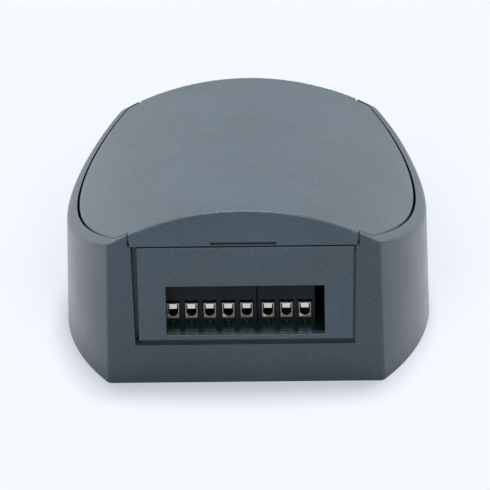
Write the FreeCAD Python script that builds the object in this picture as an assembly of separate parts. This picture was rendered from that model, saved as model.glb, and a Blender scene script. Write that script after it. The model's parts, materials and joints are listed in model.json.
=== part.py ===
import FreeCAD, Part
import math
import os

# Radio receiver module: a moulded case with a barrel roof round a mains radio receiver with two relays.
# Millimetres. +X is to the right, +Y to the rear and +Z up. The origin is on the underside, in the middle
# of the case. The wires go in at the front, at -Y, through the window in the terminal cover plate.

Vector = FreeCAD.Vector
FAR = 400.0
OVERCUT = 1.0

# Case, outside
width = 103.0
depth = 98.0
height = 51.4
roof_radius = 75.0
side_radius = 95.0
side_draft = 1.3
rear_corner_round = 3.0
front_corner_round = 2.0
rim_round = 2.6
rim_fade_y = 30.0
front_edge_round = 0.4
rear_edge_round = 1.4

# Case, walls and floor
side_wall = 3.0
end_wall = 3.0
floor_thickness = 2.5
inner_corner_round = 1.5

# Top cover
cover_width = 94.3
cover_side_radius = 97.0
cover_corner_round = 2.0
least_corner_round = 0.3
cover_gap = 0.3
cover_side_gap = 0.7
cover_edge_round = 0.8
cover_thickness = 2.2
post_wall = 1.4
skirt_depth = 5.5
skirt_thickness = 1.6
skirt_setback = 0.4
seat_gap = 0.1
tongue_width = 62.1
tongue_side_gap = 0.55
tongue_flare = 0.25
tongue_bottom = 41.05
tongue_thickness = 2.0
tongue_rest_gap = 0.25
pry_slot_width = 18.0
pry_slot_height = 0.8
pry_slot_rise = 0.3
pry_slot_depth = 1.2
cover_rib_thickness = 1.2
cover_rib_depth = 2.0
cover_rib_x = 17.0

# Pins of the top cover and their sockets in the base
cover_pin_radius = 2.0
cover_pin_clearance = 0.05
cover_pin_x = 37.0
cover_pin_inset = 25.0
cover_pin_bottom = 16.0
socket_wall = 1.7
socket_top = 26.0
socket_end_gap = 0.5

# Ribs in the base that carry the edge of the top cover
rest_rib_thickness = 1.6
rest_rib_reach = 3.4
rest_rib_y = (-30.0, 0.0, 30.0)

# Wall-screw holes
wall_screw_radius = 2.2
wall_screw_spacing = 81.0
wall_screw_pad_radius = 5.0
wall_screw_pad_height = 1.5

# Opening in the front wall, with the lip that the cover plate lies against
opening_sill = 11.4
opening_sill_width = 60.45
opening_flare = 0.6
lip_opening_width = 56.0
lip_sill_rise = 0.7
channel_strip = 0.6
channel_pad_depth = 3.0
channel_pad_reach = 1.5
channel_floor = 1.0

# Terminal cover plate
plate_thickness = 1.7
plate_sink = 0.1
plate_bottom_width = 58.85
plate_right_flare = 0.6
plate_shift = 0.2
plate_sill_gap = 1.35
plate_top_gap = 0.5
plate_edge_round = 0.3
window_width = 43.4
window_height = 14.5
window_rise = 1.6
foot_width = 3.0
foot_inset = 3.0
foot_thickness = 1.2
foot_drop = 2.6
foot_wall_gap = 0.2
guide_rib_width = 1.6
guide_rib_reach = 2.7
guide_rib_side_gap = 0.15
guide_rib_bottom = 30.0
guide_rib_top = 38.3

# Circuit board. Each size that ends in _back is a distance from the front face of the case, and each
# that ends in _ahead is a distance forward of the board's rear edge
board_thickness = 1.6
board_top = 13.95
board_width = 64.0
board_tongue_width = 47.2
board_wall_gap = 0.2
board_shoulder_back = 9.0
rear_row_depth = 7.1
rear_row_slack = 0.2
board_corner_round = 1.0
lead_tail = 1.6
lead_clearance = 0.1

# Board posts and screws
board_post_radius = 3.0
board_screw_x = 28.0
board_screw_front_back = 14.0
board_screw_row_gap = 4.1
board_screw_radius = 1.45
board_screw_clearance = 0.05
board_screw_length = 8.0
board_screw_head_radius = 2.8
board_screw_head_height = 2.0
board_hole_clearance = 0.2
driver_slot_width = 0.7
driver_slot_depth = 0.9

# Terminal blocks: poles of rising-cage clamps
pole_pitch = 5.08
first_pole_x = -19.93
left_block_poles = 5
right_block_poles = 3
block_end_wall = 0.25
block_gap = 0.3
block_front_back = 6.8
block_depth = 11.0
block_height = 16.5
recess_width = 4.1
recess_depth = 0.9
recess_bottom = 1.25
recess_top = 7.85
chamber_side_gap = 0.1
chamber_floor = 1.95
chamber_head_gap = 0.15

# Clamp cage
cage_width = 3.4
cage_length = 6.0
cage_height = 4.5
cage_rest_gap = 0.1
cage_bottom_wall = 0.55
cage_top_wall = 0.6
cage_mouth_radius = 1.375
cage_travel = 1.75

# Contact bar of each pole
bar_width = 2.2
bar_thickness = 0.8
bar_head_gap = 0.1
bar_flange_thickness = 0.35
bar_flange_gap = 0.05
bar_leg_thickness = 0.7
bar_leg_gap = 0.4
bar_slot_clearance = 0.1
limb_width = 1.4
limb_thickness = 0.6
limb_rise = 0.5
limb_headroom = 0.25
pin_width = 0.8
pin_front_setback = 1.5
pin_front_thickness = 0.6

# Clamp screw
clamp_thread_radius = 1.45
clamp_thread_clearance = 0.05
clamp_hole_clearance = 0.15
clamp_head_radius = 1.9
clamp_head_clearance = 0.25
clamp_head_height = 2.2
clamp_neck = 3.85
clamp_end_gap = 0.1

# Power parts on the board
row_gap = 2.2
relay_width = 12.7
relay_length = 29.0
relay_height = 15.7
relay_lead_inset = 2.6
relay_lead_spacing = 5.0
relay_left_x = -21.0
relay_spacing = 16.0
transformer_width = 32.5
transformer_length = 27.5
transformer_height = 22.5
transformer_lead_inset = 3.8
transformer_x = 14.8
transformer_row_gap = 1.4
case_round = 0.7
fuse_radius = 2.5
fuse_length = 20.0
fuse_cap_length = 5.2
fuse_cap_wall = 0.2
fuse_glass_wall = 0.5
fuse_x = 14.2
fuse_setback = 1.0
fuse_height = 5.0
clip_width = 4.0
clip_thickness = 0.5
clip_clearance = 0.05
varistor_radius = 5.5
varistor_thickness = 4.4
varistor_x = 25.0
varistor_back = 26.5
varistor_pitch = 7.5
coating_round = 0.8
suppressor_length = 13.0
suppressor_width = 6.0
suppressor_height = 12.0
suppressor_lead_inset = 1.5
suppressor_x = 25.5
suppressor_back = 41.5
rectifier_radius = 4.6
rectifier_height = 5.5
rectifier_lead_inset = 2.0
rectifier_x = -7.0
rectifier_ahead = 9.8
smoother_radii = (5.0, 4.0)
smoother_heights = (16.0, 11.5)
smoother_groove_radius = 0.8
smoother_groove_depth = 0.5
smoother_groove_height = 2.5
smoother_x = -7.0
smoother_ahead = (29.0, 19.0)
regulator_width = 10.0
regulator_body_height = 9.0
regulator_thickness = 4.5
regulator_tab_thickness = 1.3
regulator_height = 15.5
regulator_lift = 4.0
regulator_hole_radius = 1.8
regulator_hole_drop = 3.0
regulator_x = 8.4

# Control and radio parts on the board
chip_width = 6.4
chip_length = 22.9
chip_height = 3.3
chip_lift = 0.5
chip_notch_radius = 1.2
chip_notch_depth = 0.6
chip_pin_width = 1.2
chip_pin_thickness = 0.3
chip_lead_radius = 0.25
chip_pins_a_side = 9
chip_pin_spacing = 2.54
chip_row_spacing = 7.62
chip_x = -19.4
chip_ahead = 20.0
crystal_length = 11.0
crystal_width = 4.6
crystal_height = 3.5
crystal_corner_round = 2.1
crystal_lead_inset = 3.0
crystal_x = -19.4
crystal_ahead = 5.5
radio_board_thickness = 1.2
radio_board_length = 30.0
radio_board_height = 14.0
radio_board_x = -29.4
radio_board_ahead = 23.0
radio_pins = 7
radio_pin_size = 0.6
radio_strip_width = 2.5
radio_strip_height = 2.5
can_length = 17.0
can_height = 8.5
can_thickness = 3.0
can_sheet = 0.3
can_drop = 1.0
radio_chip_size = 5.0
radio_chip_thickness = 1.0
antenna_radius = 0.6
antenna_height = 9.0
antenna_ahead = 1.7
antenna_joint_inset = 2.0
antenna_tail = 0.5
antenna_bend_x = (3.0, 9.0)
antenna_bend_radius = 6.0
antenna_end_x = 28.5
antenna_clip_x = (-16.0, 2.0, 22.0)
antenna_clip_size = 2.4
antenna_clip_clearance = 0.05
button_size = 6.0
button_housing_height = 3.5
button_floor = 0.4
button_lead_inset = 0.8
button_roof = 1.3
button_cavity_radius = 2.5
button_radius = 1.75
button_clearance = 0.05
button_flange_radius = 2.3
button_flange_height = 0.9
button_top = 5.0
button_travel = 0.3
button_dome_sheet = 0.12
button_x = -26.8
button_back = (23.0, 32.0)
led_radius = 1.5
led_flange_radius = 1.9
led_flange_height = 0.8
led_height = 4.6
led_x = -29.3
led_back = (39.5, 44.5)
led_lead_spacing = 2.54
transistor_radius = 2.3
transistor_height = 4.6
transistor_lift = 2.0
transistor_flat = 1.27
transistor_pitch = 1.27
transistor_x = -24.2
transistor_back = (39.5, 45.0)
resistor_length = 6.3
resistor_radius = 1.15
resistor_row_gap = 2.0
rear_resistor_x = -13.6
rear_resistor_ahead = (26.0, 14.0)
front_resistor_x = 30.4
front_resistor_back = (27.0, 41.0)
diode_length = 5.2
diode_radius = 1.3
diode_back = (27.0, 40.0)
axial_lift = 0.6
axial_lead_radius = 0.3
axial_pitch = 10.16
disc_radius = 2.4
disc_thickness = 2.0
disc_lift = 1.2
disc_pitch = 2.54
ceramic_x = (-10.8, -1.0)
ceramic_ahead = (3.3, 4.2)
lead_radius = 0.4

# Worked out from the sizes above
front_y = -depth / 2
rear_y = depth / 2
inner_half_depth = depth / 2 - end_wall
roof_axis_z = height - roof_radius
seat_radius = roof_radius - skirt_depth - seat_gap
cover_half_depth = depth / 2 - post_wall - cover_gap
seat_half_width = cover_width / 2 + cover_side_gap
seat_side_radius = 1 / (1 / cover_side_radius + 2 * (cover_side_gap - cover_gap) / cover_half_depth ** 2)
cover_pin_y = depth / 2 - cover_pin_inset
socket_radius = cover_pin_radius + cover_pin_clearance
plate_front_y = front_y + plate_sink
plate_rear_y = plate_front_y + plate_thickness
plate_bottom = opening_sill + plate_sill_gap
plate_top = tongue_bottom - plate_top_gap
lip_front_y = plate_rear_y
lip_rear_y = front_y + end_wall
lip_sill = opening_sill + lip_sill_rise
channel_x = -lip_opening_width / 2 - channel_strip
board_bottom = board_top - board_thickness
board_front_y = -inner_half_depth + board_wall_gap
lead_end = board_bottom - lead_tail
board_shoulder_y = front_y + board_shoulder_back
board_screw_front_y = front_y + board_screw_front_back
block_front_y = front_y + block_front_back
varistor_y = front_y + varistor_back
suppressor_y = front_y + suppressor_back
button_y = [front_y + back for back in button_back]
led_y = [front_y + back for back in led_back]
transistor_y = [front_y + back for back in transistor_back]
diode_y = [front_y + back for back in diode_back]
front_resistor_y = [front_y + back for back in front_resistor_back]
block_rear_y = block_front_y + block_depth
recess_floor_y = block_front_y + recess_depth
cage_bottom = board_top + chamber_floor + cage_rest_gap
cage_top = cage_bottom + cage_height
cage_front_y = recess_floor_y
cage_rear_y = cage_front_y + cage_length
bar_top = cage_top - cage_top_wall - bar_head_gap
bar_bottom = bar_top - bar_thickness
leg_front_y = cage_rear_y + bar_leg_gap
leg_rear_y = leg_front_y + bar_leg_thickness
chamber_top = cage_top + cage_travel + chamber_head_gap
clamp_y = cage_front_y + cage_length / 2
clamp_head_bottom = chamber_top + clamp_neck
relay_front_y = block_rear_y + row_gap
transformer_front_y = relay_front_y + relay_length + transformer_row_gap
transformer_rear_y = transformer_front_y + transformer_length
rear_slack = inner_half_depth - transformer_rear_y - rear_row_depth
board_rear_y = transformer_rear_y + rear_row_depth + rear_row_slack * rear_slack
board_screw_rear_y = transformer_rear_y + board_screw_row_gap
rectifier_y = board_rear_y - rectifier_ahead
chip_y = board_rear_y - chip_ahead
crystal_y = board_rear_y - crystal_ahead
radio_board_y = board_rear_y - radio_board_ahead
antenna_y = board_rear_y - antenna_ahead
regulator_y = (transformer_rear_y + antenna_y - antenna_radius + regulator_thickness) / 2
smoother_y = [board_rear_y - ahead for ahead in smoother_ahead]
ceramic_y = [board_rear_y - ahead for ahead in ceramic_ahead]
rear_resistor_y = [board_rear_y - ahead for ahead in rear_resistor_ahead]

lead_holes = []


def box(x0, x1, y0, y1, z0, z1):
    """Block between two corners."""
    return Part.makeBox(x1 - x0, y1 - y0, z1 - z0, Vector(x0, y0, z0))


def centred_box(x, y, length_x, length_y, z0, z1):
    """Block centred on a point in plan."""
    return box(x - length_x / 2, x + length_x / 2, y - length_y / 2, y + length_y / 2, z0, z1)


def rod(x, y, z0, z1, radius):
    """Upright cylinder."""
    return Part.makeCylinder(radius, z1 - z0, Vector(x, y, z0))


def rod_along_x(x0, x1, y, z, radius):
    """Cylinder that lies along X."""
    return Part.makeCylinder(radius, x1 - x0, Vector(x0, y, z), Vector(1, 0, 0))


def rod_along_y(x, y0, y1, z, radius):
    """Cylinder that lies along Y."""
    return Part.makeCylinder(radius, y1 - y0, Vector(x, y0, z), Vector(0, 1, 0))


def front_prism(points, y0, y1):
    """Prism from an outline in X and Z, run from y0 back to y1."""
    corners = [Vector(x, y0, z) for x, z in points]
    face = Part.Face(Part.makePolygon(corners + corners[:1]))
    return face.extrude(Vector(0, y1 - y0, 0))


def joined(first, *others):
    """One solid from pieces that touch or overlap."""
    return first.fuse(list(others)).removeSplitter()


def upright_edges(shape):
    """Straight edges that run along Z."""
    return [
        edge
        for edge in shape.Edges
        if len(edge.Vertexes) == 2
        and abs(edge.Vertexes[0].X - edge.Vertexes[1].X) < 1e-6
        and abs(edge.Vertexes[0].Y - edge.Vertexes[1].Y) < 1e-6
    ]


def edges_in_plane_y(shape, y):
    """Edges that lie in the plane at y."""
    return [
        edge
        for edge in shape.Edges
        if abs(edge.BoundBox.YMin - y) < 1e-4 and abs(edge.BoundBox.YMax - y) < 1e-4
    ]


def edges_in_plane_z(shape, z):
    """Edges that lie in the plane at z."""
    return [
        edge
        for edge in shape.Edges
        if abs(edge.BoundBox.ZMin - z) < 1e-4 and abs(edge.BoundBox.ZMax - z) < 1e-4
    ]


def lead(x, y, top, radius=None):
    """Round lead from a part down through the board, which gets a hole for it."""
    radius = radius or lead_radius
    lead_holes.append((x, y, radius))
    return rod(x, y, lead_end, top, radius)


def corner_points(half_width, half_depth, bulge, corner):
    """Start, middle and end of the rounding from a flat end to a bulging side, and the turn where it ends."""
    centre_x = half_width - bulge
    corner_x = centre_x + math.sqrt((bulge - corner) ** 2 - (half_depth - corner) ** 2)
    away_x = (corner_x - centre_x) / (bulge - corner)
    away_y = (half_depth - corner) / (bulge - corner)
    turn = math.atan2(away_y, away_x)
    middle = (turn + math.pi / 2) / 2
    halfway = (corner_x + corner * math.cos(middle), half_depth - corner + corner * math.sin(middle))
    end = (centre_x + bulge * away_x, bulge * away_y)
    return [(corner_x, half_depth), halfway, end], turn


def plan_outline(half_width, half_depth, bulge, corner, z, fade_y=None, front_corner=None):
    """Outline at height z: flat front and rear, bulging sides, rounded corners.

    With fade_y each side is three arcs, so that a rounding can fade between fade_y and the corner.
    With front_corner the two front corners take that radius instead.
    """
    centre_x = half_width - bulge
    rear, rear_turn = corner_points(half_width, half_depth, bulge, corner)
    front, front_turn = corner_points(half_width, half_depth, bulge, front_corner or corner)
    rear_x = rear[0][0]
    front_x = front[0][0]

    def arc(a, b, c):
        return Part.Arc(Vector(*a, z), Vector(*b, z), Vector(*c, z)).toShape()

    def line(a, b):
        return Part.LineSegment(Vector(*a, z), Vector(*b, z)).toShape()

    def bulge_arc(low_angle, high_angle, side):
        angles = (low_angle, (low_angle + high_angle) / 2, high_angle)
        points = [(side * (centre_x + bulge * math.cos(a)), side * bulge * math.sin(a)) for a in angles]
        return arc(*points)

    def corner_arc(points, x_side, y_side):
        return arc(*[(x_side * x, y_side * y) for x, y in points])

    fades = []
    if fade_y is not None:
        fade = math.asin(fade_y / bulge)
        fades = [-fade, fade]
    right_stops = [-front_turn, *fades, rear_turn]
    left_stops = [-rear_turn, *fades, front_turn]
    edges = [line((-front_x, -half_depth), (front_x, -half_depth)), corner_arc(front, 1, -1)]
    edges += [bulge_arc(a, b, 1) for a, b in zip(right_stops, right_stops[1:])]
    edges += [
        corner_arc(rear[::-1], 1, 1),
        line((rear_x, half_depth), (-rear_x, half_depth)),
        corner_arc(rear, -1, 1),
    ]
    edges += [bulge_arc(a, b, -1) for a, b in zip(left_stops, left_stops[1:])]
    edges.append(corner_arc(front[::-1], -1, -1))
    return Part.Wire(edges)


def under_roof(radius):
    """Everything under an arch along Y that is concentric with the roof."""
    y = -FAR / 2
    left = Vector(-radius, y, roof_axis_z)
    right = Vector(radius, y, roof_axis_z)
    arch = Part.Arc(left, Vector(0, y, roof_axis_z + radius), right).toShape()
    below = Part.makePolygon([right, right - Vector(0, 0, FAR), left - Vector(0, 0, FAR), left])
    return Part.Face(Part.Wire([arch] + below.Edges)).extrude(Vector(0, FAR, 0))


def cover_prism(inset):
    """Upright prism of the top cover's outline, moved inward by inset."""
    outline = plan_outline(
        cover_width / 2 - inset,
        cover_half_depth - inset,
        cover_side_radius - inset,
        max(cover_corner_round - inset, least_corner_round),
        0,
    )
    return Part.Face(outline).extrude(Vector(0, 0, height + cover_thickness))


def drafted_block(inset, fade_y=None):
    """Block with the plan of the case and its side draft, moved inward by inset and taller than the roof."""
    head_z = height + FAR / 20
    inward = head_z * math.tan(math.radians(side_draft))
    outlines = [
        plan_outline(
            width / 2 - inset - lean,
            depth / 2 - inset,
            side_radius - inset,
            rear_corner_round,
            z,
            fade_y,
            front_corner_round,
        )
        for z, lean in ((0, 0), (head_z, inward))
    ]
    return Part.makeLoft(outlines, True, True)


def rim_radius_at(y):
    """Radius of the rim's rounding at a place along the side."""
    if abs(y) < rim_fade_y + 1e-3:
        return rim_round
    return rear_edge_round if y > 0 else front_edge_round


def outer_form():
    """Whole case as one block, its rim rounded well along the sides and less towards the ends."""
    block = drafted_block(0, rim_fade_y).common(under_roof(roof_radius))
    roof = max(block.Faces, key=lambda face: face.CenterOfMass.z)
    roundings = []
    for edge in roof.Edges:
        number = next(i for i, other in enumerate(block.Edges, 1) if other.isSame(edge))
        ends = [edge.valueAt(edge.FirstParameter), edge.valueAt(edge.LastParameter)]
        roundings.append((number, *[rim_radius_at(end.y) for end in ends]))
    document = FreeCAD.newDocument("rim")
    plain = document.addObject("Part::Feature", "plain")
    plain.Shape = block
    rounded = document.addObject("Part::Fillet", "rounded")
    rounded.Base = plain
    rounded.Edges = roundings
    document.recompute()
    shape = rounded.Shape.copy()
    FreeCAD.closeDocument("rim")
    return shape


def tongue_outline(grow, bottom):
    """Front view of the tongue at each end of the top cover, grown sideways."""
    half = tongue_width / 2 + grow
    top_half = half + tongue_flare
    shoulder = roof_axis_z + math.sqrt(roof_radius ** 2 - (tongue_width / 2) ** 2)
    return [
        (-half, bottom),
        (half, bottom),
        (top_half, shoulder),
        (top_half, height + OVERCUT),
        (-top_half, height + OVERCUT),
        (-top_half, shoulder),
    ]


def base_shell():
    """Tub with floor, walls, front opening, board posts, lid sockets and rest ribs."""
    seat_at_side = roof_axis_z + math.sqrt(seat_radius ** 2 - (cover_width / 2) ** 2)
    low = plan_outline(
        width / 2 - side_wall, inner_half_depth, side_radius - side_wall, inner_corner_round, floor_thickness
    )
    high = plan_outline(
        seat_half_width, inner_half_depth, seat_side_radius, inner_corner_round, seat_at_side
    )
    cavity = Part.makeLoft([low, high], True, True)
    cavity = cavity.fuse(Part.Face(high).extrude(Vector(0, 0, height)))
    seat_outline = plan_outline(
        seat_half_width, cover_half_depth + cover_gap, seat_side_radius, cover_corner_round + cover_gap, 0
    )
    seat = Part.Face(seat_outline).extrude(Vector(0, 0, height + cover_thickness))
    seat = seat.cut(under_roof(seat_radius))
    shell = outer_form().cut([cavity, seat])

    sill_half = opening_sill_width / 2
    head_half = sill_half + opening_flare
    notch_bottom = tongue_bottom - tongue_rest_gap
    opening_corners = [
        (-sill_half, opening_sill),
        (sill_half, opening_sill),
        (head_half, notch_bottom + OVERCUT),
        (-head_half, notch_bottom + OVERCUT),
    ]
    opening = front_prism(opening_corners, front_y - OVERCUT, lip_front_y)
    lip_half = lip_opening_width / 2
    lip_cut = box(-lip_half, lip_half, front_y, lip_rear_y + OVERCUT, lip_sill, height)
    notch = tongue_outline(tongue_side_gap, notch_bottom)
    front_notch = front_prism(notch, front_y - OVERCUT, lip_rear_y + OVERCUT)
    rear_notch = front_prism(notch, inner_half_depth - OVERCUT, rear_y + OVERCUT)
    shell = shell.cut([opening, lip_cut, front_notch, rear_notch])

    pad_rear_y = lip_rear_y + channel_pad_depth
    pad = box(
        -head_half - channel_pad_reach, -lip_half, lip_front_y, pad_rear_y, 0, notch_bottom
    ).common(under_roof(seat_radius))
    channel = front_prism(
        [
            (-sill_half, opening_sill),
            (channel_x, opening_sill),
            (channel_x, notch_bottom + OVERCUT),
            (-head_half, notch_bottom + OVERCUT),
        ],
        lip_front_y - OVERCUT,
        pad_rear_y - channel_floor,
    )
    added = [pad]
    removed = [channel]
    for y in rest_rib_y:
        for side in (-1, 1):
            outer = width / 2 - side_wall / 2 - (side_radius - math.sqrt(side_radius ** 2 - y ** 2))
            near, far = sorted((side * (outer - side_wall / 2 - rest_rib_reach), side * outer))
            rib = box(near, far, y - rest_rib_thickness / 2, y + rest_rib_thickness / 2, 0, height)
            added.append(rib.common(under_roof(seat_radius)).common(drafted_block(side_wall / 2)))
    for x in (-cover_pin_x, cover_pin_x):
        for y in (-cover_pin_y, cover_pin_y):
            added.append(rod(x, y, 0, socket_top, socket_radius + socket_wall))
            removed.append(rod(x, y, cover_pin_bottom - socket_end_gap, socket_top + OVERCUT, socket_radius))
    for x, y in board_screw_places():
        added.append(rod(x, y, 0, board_bottom, board_post_radius))
        end = board_top - board_screw_length - socket_end_gap
        removed.append(rod(x, y, end, board_top, board_screw_radius + board_screw_clearance))
    for x in (-wall_screw_spacing / 2, wall_screw_spacing / 2):
        added.append(rod(x, 0, 0, floor_thickness + wall_screw_pad_height, wall_screw_pad_radius))
        removed.append(rod(x, 0, -1, height, wall_screw_radius))
    return joined(shell, *added).cut(removed)


def top_cover():
    """Barrel roof with skirt, end tongues, pry slot, ribs and four pins."""
    ring = under_roof(roof_radius).cut(under_roof(roof_radius - cover_thickness))
    panel = cover_prism(0).common(ring)
    panel = panel.makeFillet(cover_edge_round, [edge for edge in panel.Edges if on_roof(edge)])
    skirt_ring = under_roof(roof_radius - cover_thickness / 2).cut(under_roof(roof_radius - skirt_depth))
    skirt = cover_prism(skirt_setback).cut(cover_prism(skirt_setback + skirt_thickness)).common(skirt_ring)
    outline = tongue_outline(0, tongue_bottom)
    front_tongue = front_prism(outline, front_y, front_y + tongue_thickness)
    front_tongue = front_tongue.common(under_roof(roof_radius))
    half_slot = pry_slot_width / 2
    slot_bottom = tongue_bottom + pry_slot_rise
    slot_rear = front_y + pry_slot_depth
    slot = box(
        -half_slot, half_slot, front_y - OVERCUT, slot_rear, slot_bottom, slot_bottom + pry_slot_height
    )
    front_tongue = front_tongue.cut(slot)
    rear_tongue = front_prism(outline, rear_y - tongue_thickness, rear_y).common(under_roof(roof_radius))
    front_tongue = eased(front_tongue, front_y, front_edge_round)
    rear_tongue = eased(rear_tongue, rear_y, rear_edge_round)
    relief_x = -tongue_width / 2 - tongue_side_gap
    relief = box(relief_x, channel_x, front_y, front_y + channel_pad_depth + end_wall, 0, tongue_bottom)
    skirt = skirt.cut(relief)
    pieces = [skirt, front_tongue, rear_tongue]
    bridge = under_roof(roof_radius).cut(under_roof(roof_radius - skirt_depth))
    for y0, y1 in (
        (front_y + front_edge_round, front_y + post_wall + cover_gap + skirt_setback + skirt_thickness),
        (rear_y - post_wall - cover_gap - skirt_setback - skirt_thickness, rear_y - rear_edge_round),
    ):
        pieces.append(front_prism(tongue_outline(0, tongue_bottom), y0, y1).common(bridge))
    for x in (-cover_rib_x, cover_rib_x):
        rib = centred_box(x, 0, cover_rib_thickness, 2 * cover_half_depth - 3 * skirt_thickness, 0, height)
        rib_ring = under_roof(roof_radius - cover_thickness / 2)
        rib_ring = rib_ring.cut(under_roof(roof_radius - cover_thickness - cover_rib_depth))
        pieces.append(rib.common(rib_ring))
    for x in (-cover_pin_x, cover_pin_x):
        for y in (-cover_pin_y, cover_pin_y):
            pin = rod(x, y, cover_pin_bottom, height, cover_pin_radius)
            pieces.append(pin.common(under_roof(roof_radius - cover_thickness / 2)))
    return joined(panel, *pieces)


def on_roof(edge):
    """Whether an edge lies in the outer face of the roof."""
    stops = (edge.FirstParameter, (edge.FirstParameter + edge.LastParameter) / 2, edge.LastParameter)
    reaches = [math.hypot(p.x, p.z - roof_axis_z) for p in (edge.valueAt(stop) for stop in stops)]
    return max(abs(reach - roof_radius) for reach in reaches) < 1e-3


def eased(tongue, end_y, radius):
    """Tongue with its outer edge along the roof rounded."""
    edges = []
    for edge in edges_in_plane_y(tongue, end_y):
        curve = edge.Curve
        if isinstance(curve, Part.Circle) and abs(curve.Radius - roof_radius) < 1e-3:
            edges.append(edge)
    return tongue.makeFillet(radius, edges)


def terminal_cover_plate():
    """Plate with the wiring window, two hook feet and two guide ribs."""
    half = plate_bottom_width / 2
    plate = front_prism(
        [
            (plate_shift - half, plate_bottom),
            (plate_shift + half, plate_bottom),
            (plate_shift + half + plate_right_flare, plate_top),
            (plate_shift - half, plate_top),
        ],
        plate_front_y,
        plate_rear_y,
    )
    window_bottom = plate_bottom + window_rise
    window = box(
        plate_shift - window_width / 2,
        plate_shift + window_width / 2,
        front_y - OVERCUT,
        0,
        window_bottom,
        window_bottom + window_height,
    )
    plate = plate.cut(window)
    plate = plate.makeFillet(plate_edge_round, edges_in_plane_y(plate, plate_front_y))
    pieces = []
    rib_outer = lip_opening_width / 2 - guide_rib_side_gap - plate_shift
    hook_front = lip_rear_y + foot_wall_gap
    hook_rear = hook_front + foot_thickness
    for side in (-1, 1):
        foot_x = plate_shift + side * (rib_outer - foot_inset + foot_width / 2)
        foot_x0 = foot_x - foot_width / 2
        foot_x1 = foot_x + foot_width / 2
        arm_top = plate_bottom + foot_thickness
        arm = box(foot_x0, foot_x1, plate_rear_y - plate_thickness / 2, hook_rear, plate_bottom, arm_top)
        leg = box(foot_x0, foot_x1, hook_front, hook_rear, plate_bottom - foot_drop, arm_top)
        rib_inner = rib_outer - guide_rib_width
        rib_x0, rib_x1 = sorted((plate_shift + side * rib_inner, plate_shift + side * rib_outer))
        rib_front = plate_rear_y - plate_thickness / 2
        rib = box(rib_x0, rib_x1, rib_front, plate_rear_y + guide_rib_reach, guide_rib_bottom, guide_rib_top)
        pieces += [arm, leg, rib]
    return joined(plate, *pieces)


def board_screw_places():
    """Plan positions of the four board screws."""
    rows = (board_screw_front_y, board_screw_rear_y)
    return [(x, y) for y in rows for x in (-board_screw_x, board_screw_x)]


def pole_rows():
    """X of each pole, block by block."""
    rows = []
    start = first_pole_x
    for count in (left_block_poles, right_block_poles):
        rows.append([start + i * pole_pitch for i in range(count)])
        start = rows[-1][-1] + pole_pitch + 2 * block_end_wall + block_gap
    return rows


def all_poles():
    """X of every pole from left to right."""
    return [x for row in pole_rows() for x in row]


def circuit_board():
    """Board with its front tongue, screw holes, lead holes and contact slots."""
    half = board_width / 2
    main = box(-half, half, board_shoulder_y, board_rear_y, board_bottom, board_top)
    main = main.makeFillet(board_corner_round, upright_edges(main))
    tongue_half = board_tongue_width / 2
    tongue_rear = board_shoulder_y + 2 * board_corner_round
    tongue = box(-tongue_half, tongue_half, board_front_y, tongue_rear, board_bottom, board_top)
    holes = []
    for x, y in board_screw_places():
        holes.append(rod(x, y, 0, height, board_screw_radius + board_hole_clearance))
    for x, y, radius in lead_holes:
        holes.append(rod(x, y, 0, height, radius + lead_clearance))
    grow = 2 * lead_clearance
    for x in all_poles():
        for y0, y1 in contact_pin_spans():
            middle = (y0 + y1) / 2
            holes.append(centred_box(x, middle, pin_width + grow, y1 - y0 + grow, 0, height))
    return joined(main, tongue).cut(holes)


def board_screws():
    """Four pan-head screws that hold the board to its posts."""
    screws = []
    head_top = board_top + board_screw_head_height
    slot_length = 2 * board_screw_head_radius + OVERCUT
    for x, y in board_screw_places():
        shank = rod(x, y, board_top - board_screw_length, board_top, board_screw_radius)
        head = rod(x, y, board_top, head_top, board_screw_head_radius)
        head = head.makeFillet(board_screw_head_height / 3, edges_in_plane_z(head, head_top))
        slot = centred_box(x, y, slot_length, driver_slot_width, head_top - driver_slot_depth, height)
        cross = slot.copy()
        cross.rotate(Vector(x, y, 0), Vector(0, 0, 1), 90)
        screws.append(joined(shank, head).cut([slot, cross]))
    return Part.makeCompound(screws)


def contact_pin_spans():
    """Y spans of the front and rear solder pins of one contact."""
    front = cage_front_y + pin_front_setback - pin_front_thickness
    return [(front, front + pin_front_thickness), (leg_front_y, leg_rear_y)]


def terminal_block(poles):
    """Moulded body with a clamp chamber, screw shaft and contact groove for each pole."""
    x0 = poles[0] - pole_pitch / 2 - block_end_wall
    x1 = poles[-1] + pole_pitch / 2 + block_end_wall
    body = box(x0, x1, block_front_y, block_rear_y, board_top, board_top + block_height)
    cuts = []
    chamber_width = cage_width + 2 * chamber_side_gap
    slot_width = bar_width + 2 * bar_slot_clearance
    groove_top = board_top + limb_rise + limb_thickness + limb_headroom
    slot_front = leg_front_y - bar_slot_clearance
    slot_rear = leg_rear_y + bar_slot_clearance
    shaft_radius = clamp_thread_radius + clamp_hole_clearance
    head_radius = clamp_head_radius + clamp_head_clearance
    for x in poles:
        half_recess = recess_width / 2
        half_chamber = chamber_width / 2
        half_slot = slot_width / 2
        half_groove = limb_width / 2 + 2 * bar_slot_clearance
        cuts += [
            box(
                x - half_recess,
                x + half_recess,
                block_front_y - OVERCUT,
                recess_floor_y,
                board_top + recess_bottom,
                board_top + recess_top,
            ),
            box(
                x - half_chamber,
                x + half_chamber,
                recess_floor_y - 0.5 * recess_depth,
                slot_rear,
                board_top + chamber_floor,
                chamber_top,
            ),
            box(x - half_slot, x + half_slot, slot_front, slot_rear, 0, chamber_top),
            box(x - half_groove, x + half_groove, block_front_y - OVERCUT, slot_rear, 0, groove_top),
            rod(x, clamp_y, chamber_top - OVERCUT, height, shaft_radius),
            rod(x, clamp_y, clamp_head_bottom, height, head_radius),
        ]
    return body.cut(cuts)


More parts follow.
